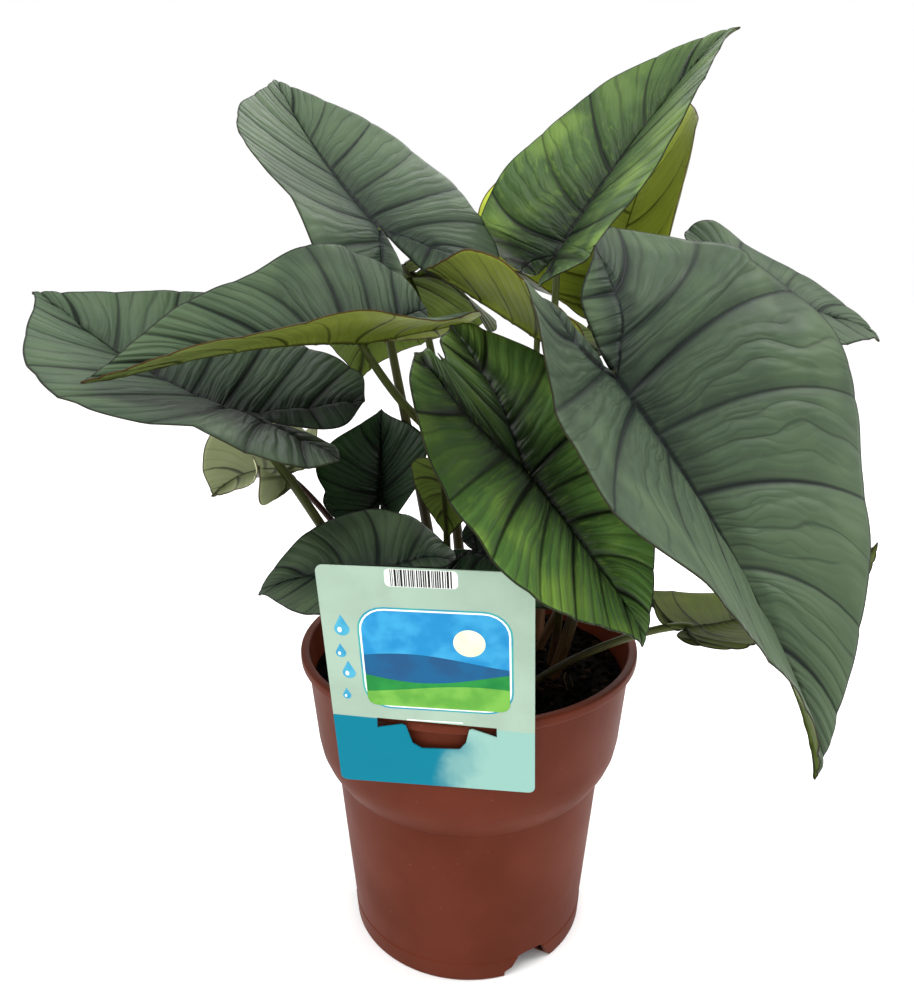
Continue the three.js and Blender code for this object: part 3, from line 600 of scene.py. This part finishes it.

# the hub and lobe strengths of a tone lay its shadow colour as painted shade round the stalk and on the
# back lobes
leafTones = dict(
    sage=dict(base="#364533", glow="#4c5d42", tip="#47583f", shadow="#1a251d", vein="#0f1514",
              rim="#1c1f1a", hubShade=0.25, rough=0.5),
    # a copy of sage with more painted shade round the stalk and on the back lobes, and darker shadow and
    # vein colours
    shadedSage=dict(base="#354334", glow="#4a5b40", tip="#44563f", shadow="#0f1712", vein="#080c0b",
               rim="#181c17", hubShade=0.55, rough=0.5, lobeShade=0.15),
    bright=dict(base="#3a5229", glow="#7c9a44", tip="#384d2a", shadow="#121f12", vein="#060a08",
                rim="#182013", hubShade=0.6, rough=0.44, reach=1.4),
    fresh=dict(base="#52753a", glow="#88aa48", tip="#41622a", shadow="#040904", vein="#020402",
               rim="#0e160b", hubShade=0.75, rough=0.4, lobeShade=0.65),
    # painted shade: the whole face is painted dark for the shade cast on it by the leaves above
    dark=dict(base="#1a2e19", glow="#284224", tip="#203820", shadow="#071209", vein="#020403",
              rim="#070a07", hubShade=0.6, rough=0.4),
    olive=dict(base="#434f25", glow="#5c692b", tip="#49562a", shadow="#252d16", vein="#12170c",
               rim="#1e1a12", hubShade=0.3, rough=0.46),
)
# the lime and sunny backs are painted light: brighter yellow-green for light shining through the leaf from
# behind
backTones = dict(
    leafBack=dict(base="#4a5a22", glow="#64762c", tip="#526228", shadow="#31391a", vein="#1d1b0b",
                  rim="#27211a", hubShade=0.3, rough=0.5),
    dullLeafBack=dict(base="#4a5526", glow="#5e692c", tip="#4e5929", shadow="#38421f", vein="#1f1e0d",
                      rim="#27211a", hubShade=0.3, rough=0.55),
    limeBacklitLeafBack=dict(base="#828e3a", glow="#9da846", tip="#6f7f50", shadow="#586722", vein="#2b2a0b",
                      rim="#3d1917", hubShade=0.4, rough=0.5),
    sunnyBacklitLeafBack=dict(base="#a0ae3c", glow="#b6c34a", tip="#98a548", shadow="#56652a", vein="#45450f",
                       rim="#45201c", hubShade=0.9, rough=0.5),
    paleLeafBack=dict(base="#adb588", glow="#bcc494", tip="#a7af80", shadow="#838a64", vein="#3b3b28",
                      rim="#4a3a2c", hubShade=0.2, rough=0.5),
)
backOf = dict(
    back_right="sunnyBacklitLeafBack", right_low="dullLeafBack", centre_folded="limeBacklitLeafBack",
    left_folded="limeBacklitLeafBack", far_left="paleLeafBack",
)
# how strongly each mask is painted, the gloss, and the pattern's widths
coats = dict(
    large=dict(veins=0.9, fine=0.55, shade=0.8, gloss=0.5,
               widths=dict(mainWidth=1.9, fineWidth=0.7, wander=1.6)),
    small=dict(veins=0.9, fine=0.5, shade=0.8, gloss=0.5,
               widths=dict(mainWidth=1.4, fineWidth=0.55, wander=1.4, reach=0.55)),
    back=dict(veins=0.85, fine=0.25, shade=0.4, gloss=0.15,
              widths=dict(mainWidth=1.1, fineWidth=0.5, wander=1.0)),
    patches=0.65, hairs=0.3, ahead=0.6, rim=0.9,
)


def leafMaterial(name, tone, coat):
    material, tree, shader = newMaterial(name, IOR=1.22, Specular_IOR_Level=coat["gloss"])
    masks = useGroup(tree, veinGroup, **coat["widths"])
    # shade, behind and hub lay painted shade: the shadow colour along the veins, on the back lobes and
    # round the stalk
    layers = [("patches", coats["patches"], "glow"), ("shade", coat["shade"], "shadow"),
              ("hairs", coats["hairs"], "glow"), ("ahead", coats["ahead"], "tip"),
              ("behind", tone.get("lobeShade", 0), "shadow"), ("hub", tone["hubShade"], "shadow"),
              ("fine", coat["fine"], "vein"), ("veins", coat["veins"], "vein"),
              ("rim", coats["rim"], "rim")]
    colour = tone["base"]
    for socket, strength, paint in layers:
        if socket == "hairs":
            share = ramp(tree, masks[socket], 0.5, 0.75, strength)
        else:
            share = calc(tree, "MULTIPLY", masks[socket], strength)
        colour = blend(tree, share, colour, tone[paint])
    tree.links.new(colour, shader.inputs["Base Color"])
    tree.links.new(ramp(tree, masks["hairs"], 0.3, 0.8, tone["rough"] + 0.08, tone["rough"] - 0.05),
                   shader.inputs["Roughness"])
    relief(tree, shader, masks["relief"], 0.001, 0.9 * coat["fine"])
    return material


faceMaterials = {}
for name, tone in leafTones.items():
    wide = {**coats["large"], "widths": {**coats["large"]["widths"], "reach": tone.get("reach", 1)}}
    faceMaterials[name, "large"] = leafMaterial(name + "LeafFace", tone, wide)
    faceMaterials[name, "small"] = leafMaterial(name + "SmallLeafFace", tone, coats["small"])
backMaterials = {name: leafMaterial(name, tone, coats["back"]) for name, tone in backTones.items()}
leafSlots = dict(
    sage="leaf_sage", bright="leaf_bright", fresh="leaf_bright", dark="leaf_dark", olive="leaf_underside",
    shadedSage="leaf_sage",
)


# Stalks

stalk = dict(
    footRadius=3.3, topRadius=1.8, smallShare=0.75, slimBelow=100, footHeight=130, inset=2.5, drop=0.9,
    sides=18, steps=44,
)
stalkTones = dict(
    petiole=dict(foot="#5c3d28", middle="#312c15", top="#4b5526", streak="#20130d"),
    petiole_plum=dict(foot="#40271d", middle="#24110f", top="#341b14", streak="#120808"),
)


def stalkMaterial(name, tone):
    material, tree, shader = newMaterial(name, Roughness=0.4, IOR=1.25)
    where, along, _ = layer(tree, "stalk")
    stretch = tree.nodes.new("ShaderNodeMapping")
    stretch.inputs["Scale"].default_value = (6.0, 9.0, 1.0)
    tree.links.new(where, stretch.inputs["Vector"])
    streaks = noise(tree, stretch.outputs[0], 2.5, 4.0, 0.3)
    colour = blend(tree, ramp(tree, along, 0.04, 0.3), tone["foot"], tone["middle"])
    colour = blend(tree, ramp(tree, along, 0.45, 1.0), colour, tone["top"])
    colour = blend(tree, ramp(tree, streaks, 0.45, 0.75, 0.7), colour, tone["streak"])
    tree.links.new(colour, shader.inputs["Base Color"])
    relief(tree, shader, streaks, 0.0004, 0.5)
    return material


stalkMaterials = {name: stalkMaterial(name + "Skin", tone) for name, tone in stalkTones.items()}


def growStalk(leaf, matrix, material):
    foot = np.array([*leaf["stem"][0], stalk["footHeight"]], dtype=float)
    near, far = (np.array(p, dtype=float) for p in leaf["stem"][1:])
    top = matrix @ np.array([stalk["inset"], 0, -stalk["drop"]]) + np.array(leaf["at"])
    slim = 1 if leaf["length"] > stalk["slimBelow"] else stalk["smallShare"]
    footRadius = leaf.get("footRadius", stalk["footRadius"])
    u = np.linspace(0, 1, stalk["steps"] + 1)[:, None]
    centre = foot * (1 - u) ** 3 + 3 * near * u * (1 - u) ** 2 + 3 * far * u ** 2 * (1 - u) + top * u ** 3
    tangent = np.gradient(centre, axis=0)
    tangent /= np.linalg.norm(tangent, axis=1, keepdims=True)
    run = np.concatenate([[0], np.cumsum(np.linalg.norm(np.diff(centre, axis=0), axis=1))])
    share = run / run[-1]
    across = np.cross(tangent[0], [0.0, 1.0, 0.0])
    points, sides = [], stalk["sides"]
    for k in range(len(centre)):
        across = across - tangent[k] * (across @ tangent[k])
        across /= np.linalg.norm(across)
        other = np.cross(tangent[k], across)
        radius = slim * (footRadius + (stalk["topRadius"] - footRadius) * share[k])
        for n in range(sides):
            angle = 2 * pi * n / sides
            points.append(centre[k] + radius * (cos(angle) * across + sin(angle) * other))
    faces, last = rungs(0, len(centre), sides), (len(centre) - 1) * sides
    uv = [(share[k + i], (n + j) / sides) for k in range(len(centre) - 1) for n in range(sides)
          for i, j in ((0, 0), (0, 1), (1, 1), (1, 0))]
    faces += [list(range(sides))[::-1], [last + n for n in range(sides)]]
    uv += [(0, 0)] * sides + [(1, 0)] * sides
    return addMesh("stalk_" + leaf["name"], np.array(points) * mm, faces, [material], uvs={"stalk": uv})


for ownLook in leaves:
    leaf = {**plainLeaf, **ownLook}
    back = backOf.get(leaf["name"], "leafBack")
    grown, leafMatrix = growBlade(leaf, faceMaterials[leaf["tone"], sizeOf(leaf)], backMaterials[back])
    settle(grown, leafSlots[leaf["tone"]], "blade_" + leaf["name"])
    stalkSlot = "petiole_plum" if leaf["tone"] == "dark" or leaf["name"] == "far_left" else "petiole"
    stem = growStalk(leaf, leafMatrix, stalkMaterials[stalkSlot])
    settle(stem, stalkSlot, "petiole_" + leaf["name"])
print("leaves and stalks grown")


# Pot

pot = dict(
    height=160, rimRadius=85.2, lipWidth=4.4, lipHeight=5, lipBlend=3, edgeRound=1.2, collarTop=82,
    collarFoot=78.2, collarFootHeight=113, wallTop=68.9, wallTopHeight=91.5,
    shoulder=[(0, 0), (1, 1.1), (5.8, 9), (8, 14.5)], thickening=1, foot=61.7, footHeight=10,
    footStep=0.6, wall=2, floor=2.5, sides=180, colours=("#5f2a1a", "#552414"), dust="#84503d",
)
notch = dict(
    count=3, first=-58.5, depth=18, fall=0.78, overhang=1.5,
    outline=[(-15.5, -1), (-14.6, 5.5), (-10.8, 6.9), (-7.7, 12.2), (-2, 12.9), (6.9, 12.7), (10, 6.7),
             (13.4, 3.2), (14.5, -1)],
)


def turned(name, profile, sides, materials):  # radius and height from axis to axis; soil's is a formula
    points, faces = [], []
    for ring, (radius, height) in enumerate(profile):
        for n in range(sides if 0 < ring < len(profile) - 1 else 1):
            x, y = (radius * f(2 * pi * n / sides) for f in (cos, sin))
            points.append((x * mm, y * mm, (height(x, y) if callable(height) else height) * mm))
    last = len(points) - 1
    for n in range(sides):
        m = (n + 1) % sides
        faces.append((0, 1 + m, 1 + n))
        for a in range(1, last - sides, sides):
            faces.append((a + sides + n, a + n, a + m, a + sides + m))
        faces.append((last, last - sides + n, last - sides + m))
    return addMesh(name, points, faces, materials)


def hollowProfile(clearance):
    inward, upward = pot["wall"] + clearance, pot["thickening"] + clearance
    return ([(0, pot["floor"] + clearance), (pot["foot"] - inward, pot["floor"] + clearance)]
            + [(pot["wallTop"] + out - inward, pot["wallTopHeight"] + up + upward)
               for out, up in pot["shoulder"]]
            + [(pot["collarFoot"] - inward, pot["collarFootHeight"] + clearance)])


def potProfile():
    lipFoot, r = pot["height"] - pot["lipHeight"], pot["edgeRound"]
    lipInside = pot["rimRadius"] - pot["lipWidth"]
    arc = [(sin(radians(a)), 1 - cos(radians(a))) for a in (0, 22.5, 45, 67.5, 90)]
    foot = [(pot["foot"] - r + r * a, r * b) for a, b in arc]
    lip = [(pot["rimRadius"] - r + r * a, lipFoot + r * b) for a, b in arc]
    lip += [(pot["rimRadius"] - r + r * a, pot["height"] - r * b) for a, b in reversed(arc)]
    lip += [(lipInside + r - r * a, pot["height"] - r * b) for a, b in arc]
    return ([(0, 0)] + foot
            + [(pot["foot"] + pot["footStep"], pot["footHeight"]),
               (pot["foot"] + pot["footStep"] / 2, pot["footHeight"] + pot["footStep"])]
            + [(pot["wallTop"] + out, pot["wallTopHeight"] + up) for out, up in pot["shoulder"]]
            + [(pot["collarFoot"], pot["collarFootHeight"]), (pot["collarTop"], lipFoot)] + lip
            + [(pot["collarTop"] - pot["wall"], lipFoot - pot["lipBlend"])] + hollowProfile(0)[::-1])


def cutNotches(piece):
    depth, fall = notch["depth"], notch["fall"]
    for k in range(notch["count"]):
        points = []
        for level in (0, 1):
            inward = depth * (1 - level)
            for x, z in notch["outline"]:
                points.append((x, -pot["foot"] - notch["overhang"] + inward, z - fall * inward))
        count = len(notch["outline"])
        faces = [range(count), range(2 * count - 1, count - 1, -1), *rungs(0, 2, count, True)]
        cutter = addMesh("cutter", np.array(points) * mm, faces, [])
        turn = radians(notch["first"] + 90 + 360 * k / notch["count"])
        cutter.data.transform(Matrix.Rotation(turn, 4, "Z"))
        work = bmesh.new()
        work.from_mesh(cutter.data)
        bmesh.ops.recalc_face_normals(work, faces=work.faces)
        work.to_mesh(cutter.data)
        work.free()
        cut = piece.modifiers.new("notch", "BOOLEAN")
        cut.operation, cut.solver, cut.object = "DIFFERENCE", "EXACT", cutter
        bpy.context.view_layer.update()
        done = bpy.data.meshes.new_from_object(piece.evaluated_get(bpy.context.evaluated_depsgraph_get()))
        piece.modifiers.clear()
        piece.data = done
        bpy.data.objects.remove(cutter)


def potPlastic():
    material, tree, shader = newMaterial("potPlastic", IOR=1.2, Specular_IOR_Level=0.3)
    spot = tree.nodes.new("ShaderNodeTexCoord").outputs["Object"]
    cloud = noise(tree, spot, 22.0, 4.0)
    colour = blend(tree, ramp(tree, cloud, 0.3, 0.7), *pot["colours"])
    dust = ramp(tree, noise(tree, spot, 420.0, 2.0), 0.7, 0.8, 0.35)
    tree.links.new(blend(tree, dust, colour, pot["dust"]), shader.inputs["Base Color"])
    tree.links.new(ramp(tree, cloud, 0.3, 0.7, 0.56, 0.46), shader.inputs["Roughness"])
    relief(tree, shader, noise(tree, spot, 900.0, 2.0), 0.0001, 0.3)
    return material


potPiece = turned("nurseryPot", potProfile(), pot["sides"], [potPlastic()])
cutNotches(potPiece)
sharpen(potPiece, 28)
settle(potPiece, "pot", "pot")
print("pot turned and notched")


# Soil

soil = dict(
    edge=143, flare=2.8, crown=3, bump=1.1, radius=78, gap=0.5, rings=44, sides=132, seed=11, reach=76,
    crumbs=dict(count=1500, size=(0.5, 1.9), flat=0.9, tilt=(0, 6.3)),
    chips=dict(count=160, size=(1.4, 3.6), flat=0.3, tilt=(-0.5, 0.5)),
    fibres=dict(count=90, length=(6, 22), radius=(0.12, 0.3), arch=1.2, bend=0.35, reach=72, limit=77,
                steps=8, sides=4),
    looks=[("pottingSoil", "#040302", "#0e0907", 0.95, 260.0),
           ("barkChip", "#190f0a", "#2b1c13", 0.85, 400.0),
           ("rootHair", "#3a2a1b", "#4f3d29", 0.7, 700.0)],
)
chance = random.Random(soil["seed"])


def soilHeight(x, y):  # a low crown with uneven swells of two sizes
    share = hypot(x, y) / soil["radius"]
    swells = sin(x / 7 + y / 11) + cos(y / 6 - x / 13)
    swells += 0.6 * sin(x / 2.3 + 3 * sin(y / 3.1))
    return soil["edge"] + soil["crown"] * (1 - share ** 2) + soil["bump"] * swells / 2.4


def soilProfile():
    rim = pot["collarFoot"] - pot["wall"] - soil["gap"] + soil["flare"]
    top = [(rim * k / soil["rings"], soilHeight) for k in range(soil["rings"], -1, -1)]
    return hollowProfile(soil["gap"]) + top


def onSoil(reach):
    radius, angle = reach * sqrt(chance.random()), chance.uniform(0, 2 * pi)
    return radius * cos(angle), radius * sin(angle)


def addLump(points, faces, slots, look, slot):  # a rough little stone of soil or a bark chip
    size, flat, rows, sides = chance.uniform(*look["size"]), look["flat"], 4, 6
    x, y = onSoil(soil["reach"])
    centre = Vector((x, y, soilHeight(x, y) + 0.25 * size * flat))
    angles = [chance.uniform(*look["tilt"]), chance.uniform(*look["tilt"]), chance.uniform(0, 6.3)]
    turn = Euler(angles).to_matrix()
    start = len(points)
    for k in range(rows + 1):
        polar = pi * k / rows
        for n in range(sides):
            around = 2 * pi * (n + 0.5 * (k % 2)) / sides
            stretch = size * chance.uniform(0.8, 1.15)
            local = Vector((sin(polar) * cos(around) * stretch,
                            sin(polar) * sin(around) * stretch * 0.8,
                            cos(polar) * stretch * flat))
            points.append(tuple((centre + turn @ local) * mm))
    quads = rungs(start, rows + 1, sides, True)
    faces += quads
    slots += [slot] * len(quads)


def addFibre(points, faces, slots, look, slot):  # a bent root hair lying on the soil
    x, y = onSoil(look["reach"])
    heading = chance.uniform(0, 6.3)
    length, radius = chance.uniform(*look["length"]), chance.uniform(*look["radius"])
    start, steps, sides = len(points), look["steps"], look["sides"]
    for k in range(steps + 1):
        arch = look["arch"] * sin(pi * k / steps) * chance.uniform(0.6, 1.2)
        z = soilHeight(x, y) + radius + arch
        for n in range(sides):
            angle = 2 * pi * n / sides
            points.append(((x - sin(heading) * cos(angle) * radius) * mm,
                           (y + cos(heading) * cos(angle) * radius) * mm,
                           (z + sin(angle) * radius) * mm))
        heading += chance.uniform(-look["bend"], look["bend"])
        x, y = x + cos(heading) * length / steps, y + sin(heading) * length / steps
        inside = min(1, look["limit"] / max(hypot(x, y), 1))
        x, y = x * inside, y * inside
    quads = rungs(start, steps + 1, sides)
    faces += quads
    slots += [slot] * len(quads)


def earthMaterial(name, first, second, rough, scale):
    material, tree, shader, grain = mottled(name, first, second, scale, (0.35, 0.7), 5.0, 0.2,
                                            Roughness=rough, IOR=1.1)
    relief(tree, shader, grain, 0.0015, 0.9)
    return material


soilMaterials = [earthMaterial(*look) for look in soil["looks"]]
bed = turned("soilBed", soilProfile(), soil["sides"], soilMaterials[:1])
cutNotches(bed)
sharpen(bed, 40)
settle(bed, "soil", "soil")
litter = [], [], []
for slot, (kind, add) in enumerate((("crumbs", addLump), ("chips", addLump), ("fibres", addFibre))):
    for _ in range(soil[kind]["count"]):
        add(*litter, soil[kind], slot)
litterPiece = addMesh("soilCrumbs", litter[0], litter[1], soilMaterials, litter[2])
sharpen(litterPiece, 30)
settle(litterPiece, "soil")
print("soil laid")


# Care tag: a printed card hooked over the rim by its tongue

tag = dict(
    width=86.4, height=112, thickness=0.6, corner=3, chamfer=9.2, centre=(-15.8, -88.75, 181.2), lean=10,
    turn=7.2, roll=0.8,
    slot=[(-24.1, -19.3), (-24.3, -24.8), (-13.4, -22.2), (-11.8, -23), (-9.4, -32.4), (-5.5, -35),
          (11, -34.2), (13.8, -30.4), (15.4, -23.2), (16.8, -22.6), (27.2, -26.2), (27.2, -21)],
    tongueLeft=-11, tongueWidth=24,
    tongue=[(0, -19.6), (4, -19.2), (6.5, -19.4), (8.2, -20.6), (8.8, -23), (9.4, -33)],
    paper=("#98ae9d", "#a1b8a6"), water=("#00748a", "#8cb6ac"), band=-20.5, bandSlope=-0.045, ink=0.03,
    panel=(-27, -12, 33, 36), panelRound=10,
    drops=[(-35, 26, 3.2), (-36.5, 14, 2.2), (-34, 4, 2.8), (-36, -8, 1.8)], dropCurve=(-210, 30),
    sun=(17, 22, 6.5, 6.5),
    hills=[(12, 3.2, 0.6, "inkFarHill", "#1c5a86", "#22507a"),
           (5, 4.2, 3.4, "inkHill", "#2b8a3f", "#1f7a3a"),
           (-2.5, 2.6, 5.2, "inkNearHill", "#74b04a", "#5c9c3d")],
    patch=(-15.5, 47.5, 13.5, 55.6), patchRound=2,
    bars=dict(left=-13.2, right=11.2, foot=47.7, top=55.4, widths=(0.3, 0.4, 0.6, 0.9),
              gaps=(0.25, 0.35, 0.5), seed=4),
)
tagGloss = dict(Roughness=0.32, IOR=1.25, Specular_IOR_Level=0.2)


def flatShape(outlines, z, thickness, material):  # a filled flat shape, its face at z
    curve = bpy.data.curves.new("outline", "CURVE")
    curve.dimensions, curve.fill_mode, curve.extrude = "2D", "BOTH", thickness / 2 * mm
    for outline in outlines:
        spline = curve.splines.new("POLY")
        spline.points.add(len(outline) - 1)
        for point, (x, y) in zip(spline.points, outline):
            point.co = (x * mm, y * mm, 0, 1)
        spline.use_cyclic_u = True
    maker = bpy.data.objects.new("outline", curve)
    bpy.context.scene.collection.objects.link(maker)
    bpy.context.view_layer.update()
    mesh = bpy.data.meshes.new_from_object(maker.evaluated_get(bpy.context.evaluated_depsgraph_get()))
    bpy.data.objects.remove(maker)
    mesh.transform(Matrix.Translation((0, 0, (z - thickness / 2) * mm)))
    mesh.materials.clear()
    mesh.materials.append(material)
    shape = bpy.data.objects.new("shape", mesh)
    bpy.context.scene.collection.objects.link(shape)
    return shape


def printed(outline, level, ink):  # one layer of ink, counted up from the card
    return flatShape([outline], tag["ink"] * level, tag["ink"], ink)


def arcPoints(cx, cy, rx, ry, first, last, steps):
    angles = [radians(first + (last - first) * k / steps) for k in range(steps + 1)]
    return [(cx + rx * cos(a), cy + ry * sin(a)) for a in angles]


def roundedBox(box, r, grow=0):
    left, bottom, right, top = box[0] - grow, box[1] - grow, box[2] + grow, box[3] + grow
    corners = ((right - r, top - r), (left + r, top - r), (left + r, bottom + r), (right - r, bottom + r))
    return sum((arcPoints(x, y, r, r, 90 * k, 90 * k + 90, 6) for k, (x, y) in enumerate(corners)), [])


def hills(level, swell, phase):  # a rolling outline across the panel, filled down to its foot
    left, bottom, right, _ = tag["panel"]
    top, r = [], 4
    for k in range(33):
        x = left + (right - left) * k / 32
        top.append((x, level + swell * sin(phase + 3.4 * (x - left) / (right - left))))
    return (top + arcPoints(right - r, bottom + r, r, r, 0, -90, 6)
            + arcPoints(left + r, bottom + r, r, r, 270, 180, 6))


def inkMaterial(name, first, second, scale):  # printed ink, mottled between two colours
    return mottled(name, first, second, scale, (0.35, 0.65), **tagGloss)[0]


def cardMaterial():
    material, tree, shader = newMaterial("tagCard", **{**tagGloss, "Roughness": 0.34})
    where, across, up = layer(tree, "card")
    wash = noise(tree, where, 0.045, 4.0, 0.6)
    edge = calc(tree, "MULTIPLY_ADD", across, tag["bandSlope"], tag["band"])
    below = ramp(tree, calc(tree, "SUBTRACT", edge, up), 0.0, 0.3)
    shallow = ramp(tree, calc(tree, "MULTIPLY_ADD", wash, 40.0, across), 18.0, 40.0)
    paper = blend(tree, ramp(tree, wash, 0.3, 0.7), *tag["paper"])
    colour = blend(tree, below, paper, blend(tree, shallow, *tag["water"]))
    tree.links.new(colour, shader.inputs["Base Color"])
    return material


def buildTongue(material):
    fine = [Vector(p) for p in curveThrough(tag["tongue"], np.linspace(0, 1, 30))]
    points = []
    for k, point in enumerate(fine):
        along = (fine[min(k + 1, len(fine) - 1)] - fine[max(k - 1, 0)]).normalized()
        inner = point + Vector((-along.y, along.x)) * tag["thickness"]
        left, right = tag["tongueLeft"], tag["tongueLeft"] + tag["tongueWidth"]
        for x, p in ((left, point), (left, inner), (right, inner), (right, point)):
            points.append((x * mm, p.y * mm, -p.x * mm))
    end = 4 * (len(fine) - 1)
    faces = rungs(0, len(fine), 4) + [(0, 3, 2, 1), (end, end + 1, end + 2, end + 3)]
    return addMesh("tongue", points, faces, [material])


def printTag(white):  # the ink on the card, layer by layer
    panel, r = tag["panel"], tag["panelRound"]
    sun = arcPoints(*tag["sun"], 0, 360, 40)[:-1]
    inks = [(roundedBox(panel, r + 1.5, 1.6), inkMaterial("inkRing", "#2f8fa8", "#49a89c", 90.0)),
            (roundedBox(panel, r + 0.8, 0.8), white),
            (roundedBox(panel, r), inkMaterial("inkSky", "#2384bb", "#3c9ccb", 90.0)),
            (sun, inkMaterial("inkSun", "#eef3cf", "#e2eebb", 90.0))]
    inks += [(hills(*look[:3]), inkMaterial(*look[3:], 90.0)) for look in tag["hills"]]
    shapes = [printed(outline, k + 1, ink) for k, (outline, ink) in enumerate(inks)]
    drop = inkMaterial("inkDrop", "#4fa8c4", "#2f8db4", 120.0)
    for x, y, size in tag["drops"]:
        body = arcPoints(x, y, size, size, *tag["dropCurve"], 20) + [(x, y + 2.2 * size)]
        shapes.append(printed(body, 1, drop))
        shine = arcPoints(x - 0.3 * size, y - 0.1 * size, 0.28 * size, 0.42 * size, 0, 360, 12)[:-1]
        shapes.append(printed(shine, 2, white))
    shapes.append(printed(roundedBox(tag["patch"], tag["patchRound"]), 1, white))
    black = inkMaterial("inkBlack", "#181818", "#202020", 60.0)
    bars = tag["bars"]
    x, dice = bars["left"], random.Random(bars["seed"])
    while x < bars["right"]:
        wide = dice.choice(bars["widths"])
        bar = [(x, bars["foot"]), (x + wide, bars["foot"]), (x + wide, bars["top"]), (x, bars["top"])]
        shapes.append(printed(bar, 2, black))
        x += wide + dice.choice(bars["gaps"])
    return shapes


def buildTag():
    right, top, r, cut = tag["width"] / 2, tag["height"] / 2, tag["corner"], tag["chamfer"]
    card = (arcPoints(right - r, -top + r, r, r, -90, 0, 5) + [(right, top - cut), (right - cut, top)]
            + arcPoints(-right + r, top - r, r, r, 90, 180, 5)
            + arcPoints(-right + r, -top + r, r, r, 180, 270, 5))
    white = inkMaterial("inkWhite", "#f4f6f2", "#eef2ee", 60.0)
    piece = flatShape([card, tag["slot"]], 0, tag["thickness"], cardMaterial())
    parts = [piece, *printTag(white), buildTongue(white)]
    uv = piece.data.uv_layers.new(name="card")
    for loop in piece.data.loops:
        place = piece.data.vertices[loop.vertex_index].co
        uv.data[loop.index].uv = (place.x / mm, place.y / mm)
    with bpy.context.temp_override(active_object=piece, selected_objects=parts,
                                   selected_editable_objects=parts):
        bpy.ops.object.join()
    piece.name = "careTag"
    turn = Euler((radians(90 + tag["lean"]), 0, -radians(tag["turn"])))
    stand = turn.to_matrix().to_4x4() @ Matrix.Rotation(radians(tag["roll"]), 4, "Z")
    piece.data.transform(Matrix.Translation(Vector(tag["centre"]) * mm) @ stand)
    return piece


tagPiece = buildTag()
sharpen(tagPiece, 40)
settle(tagPiece, "tag", "tag")
print("tag printed and hung")
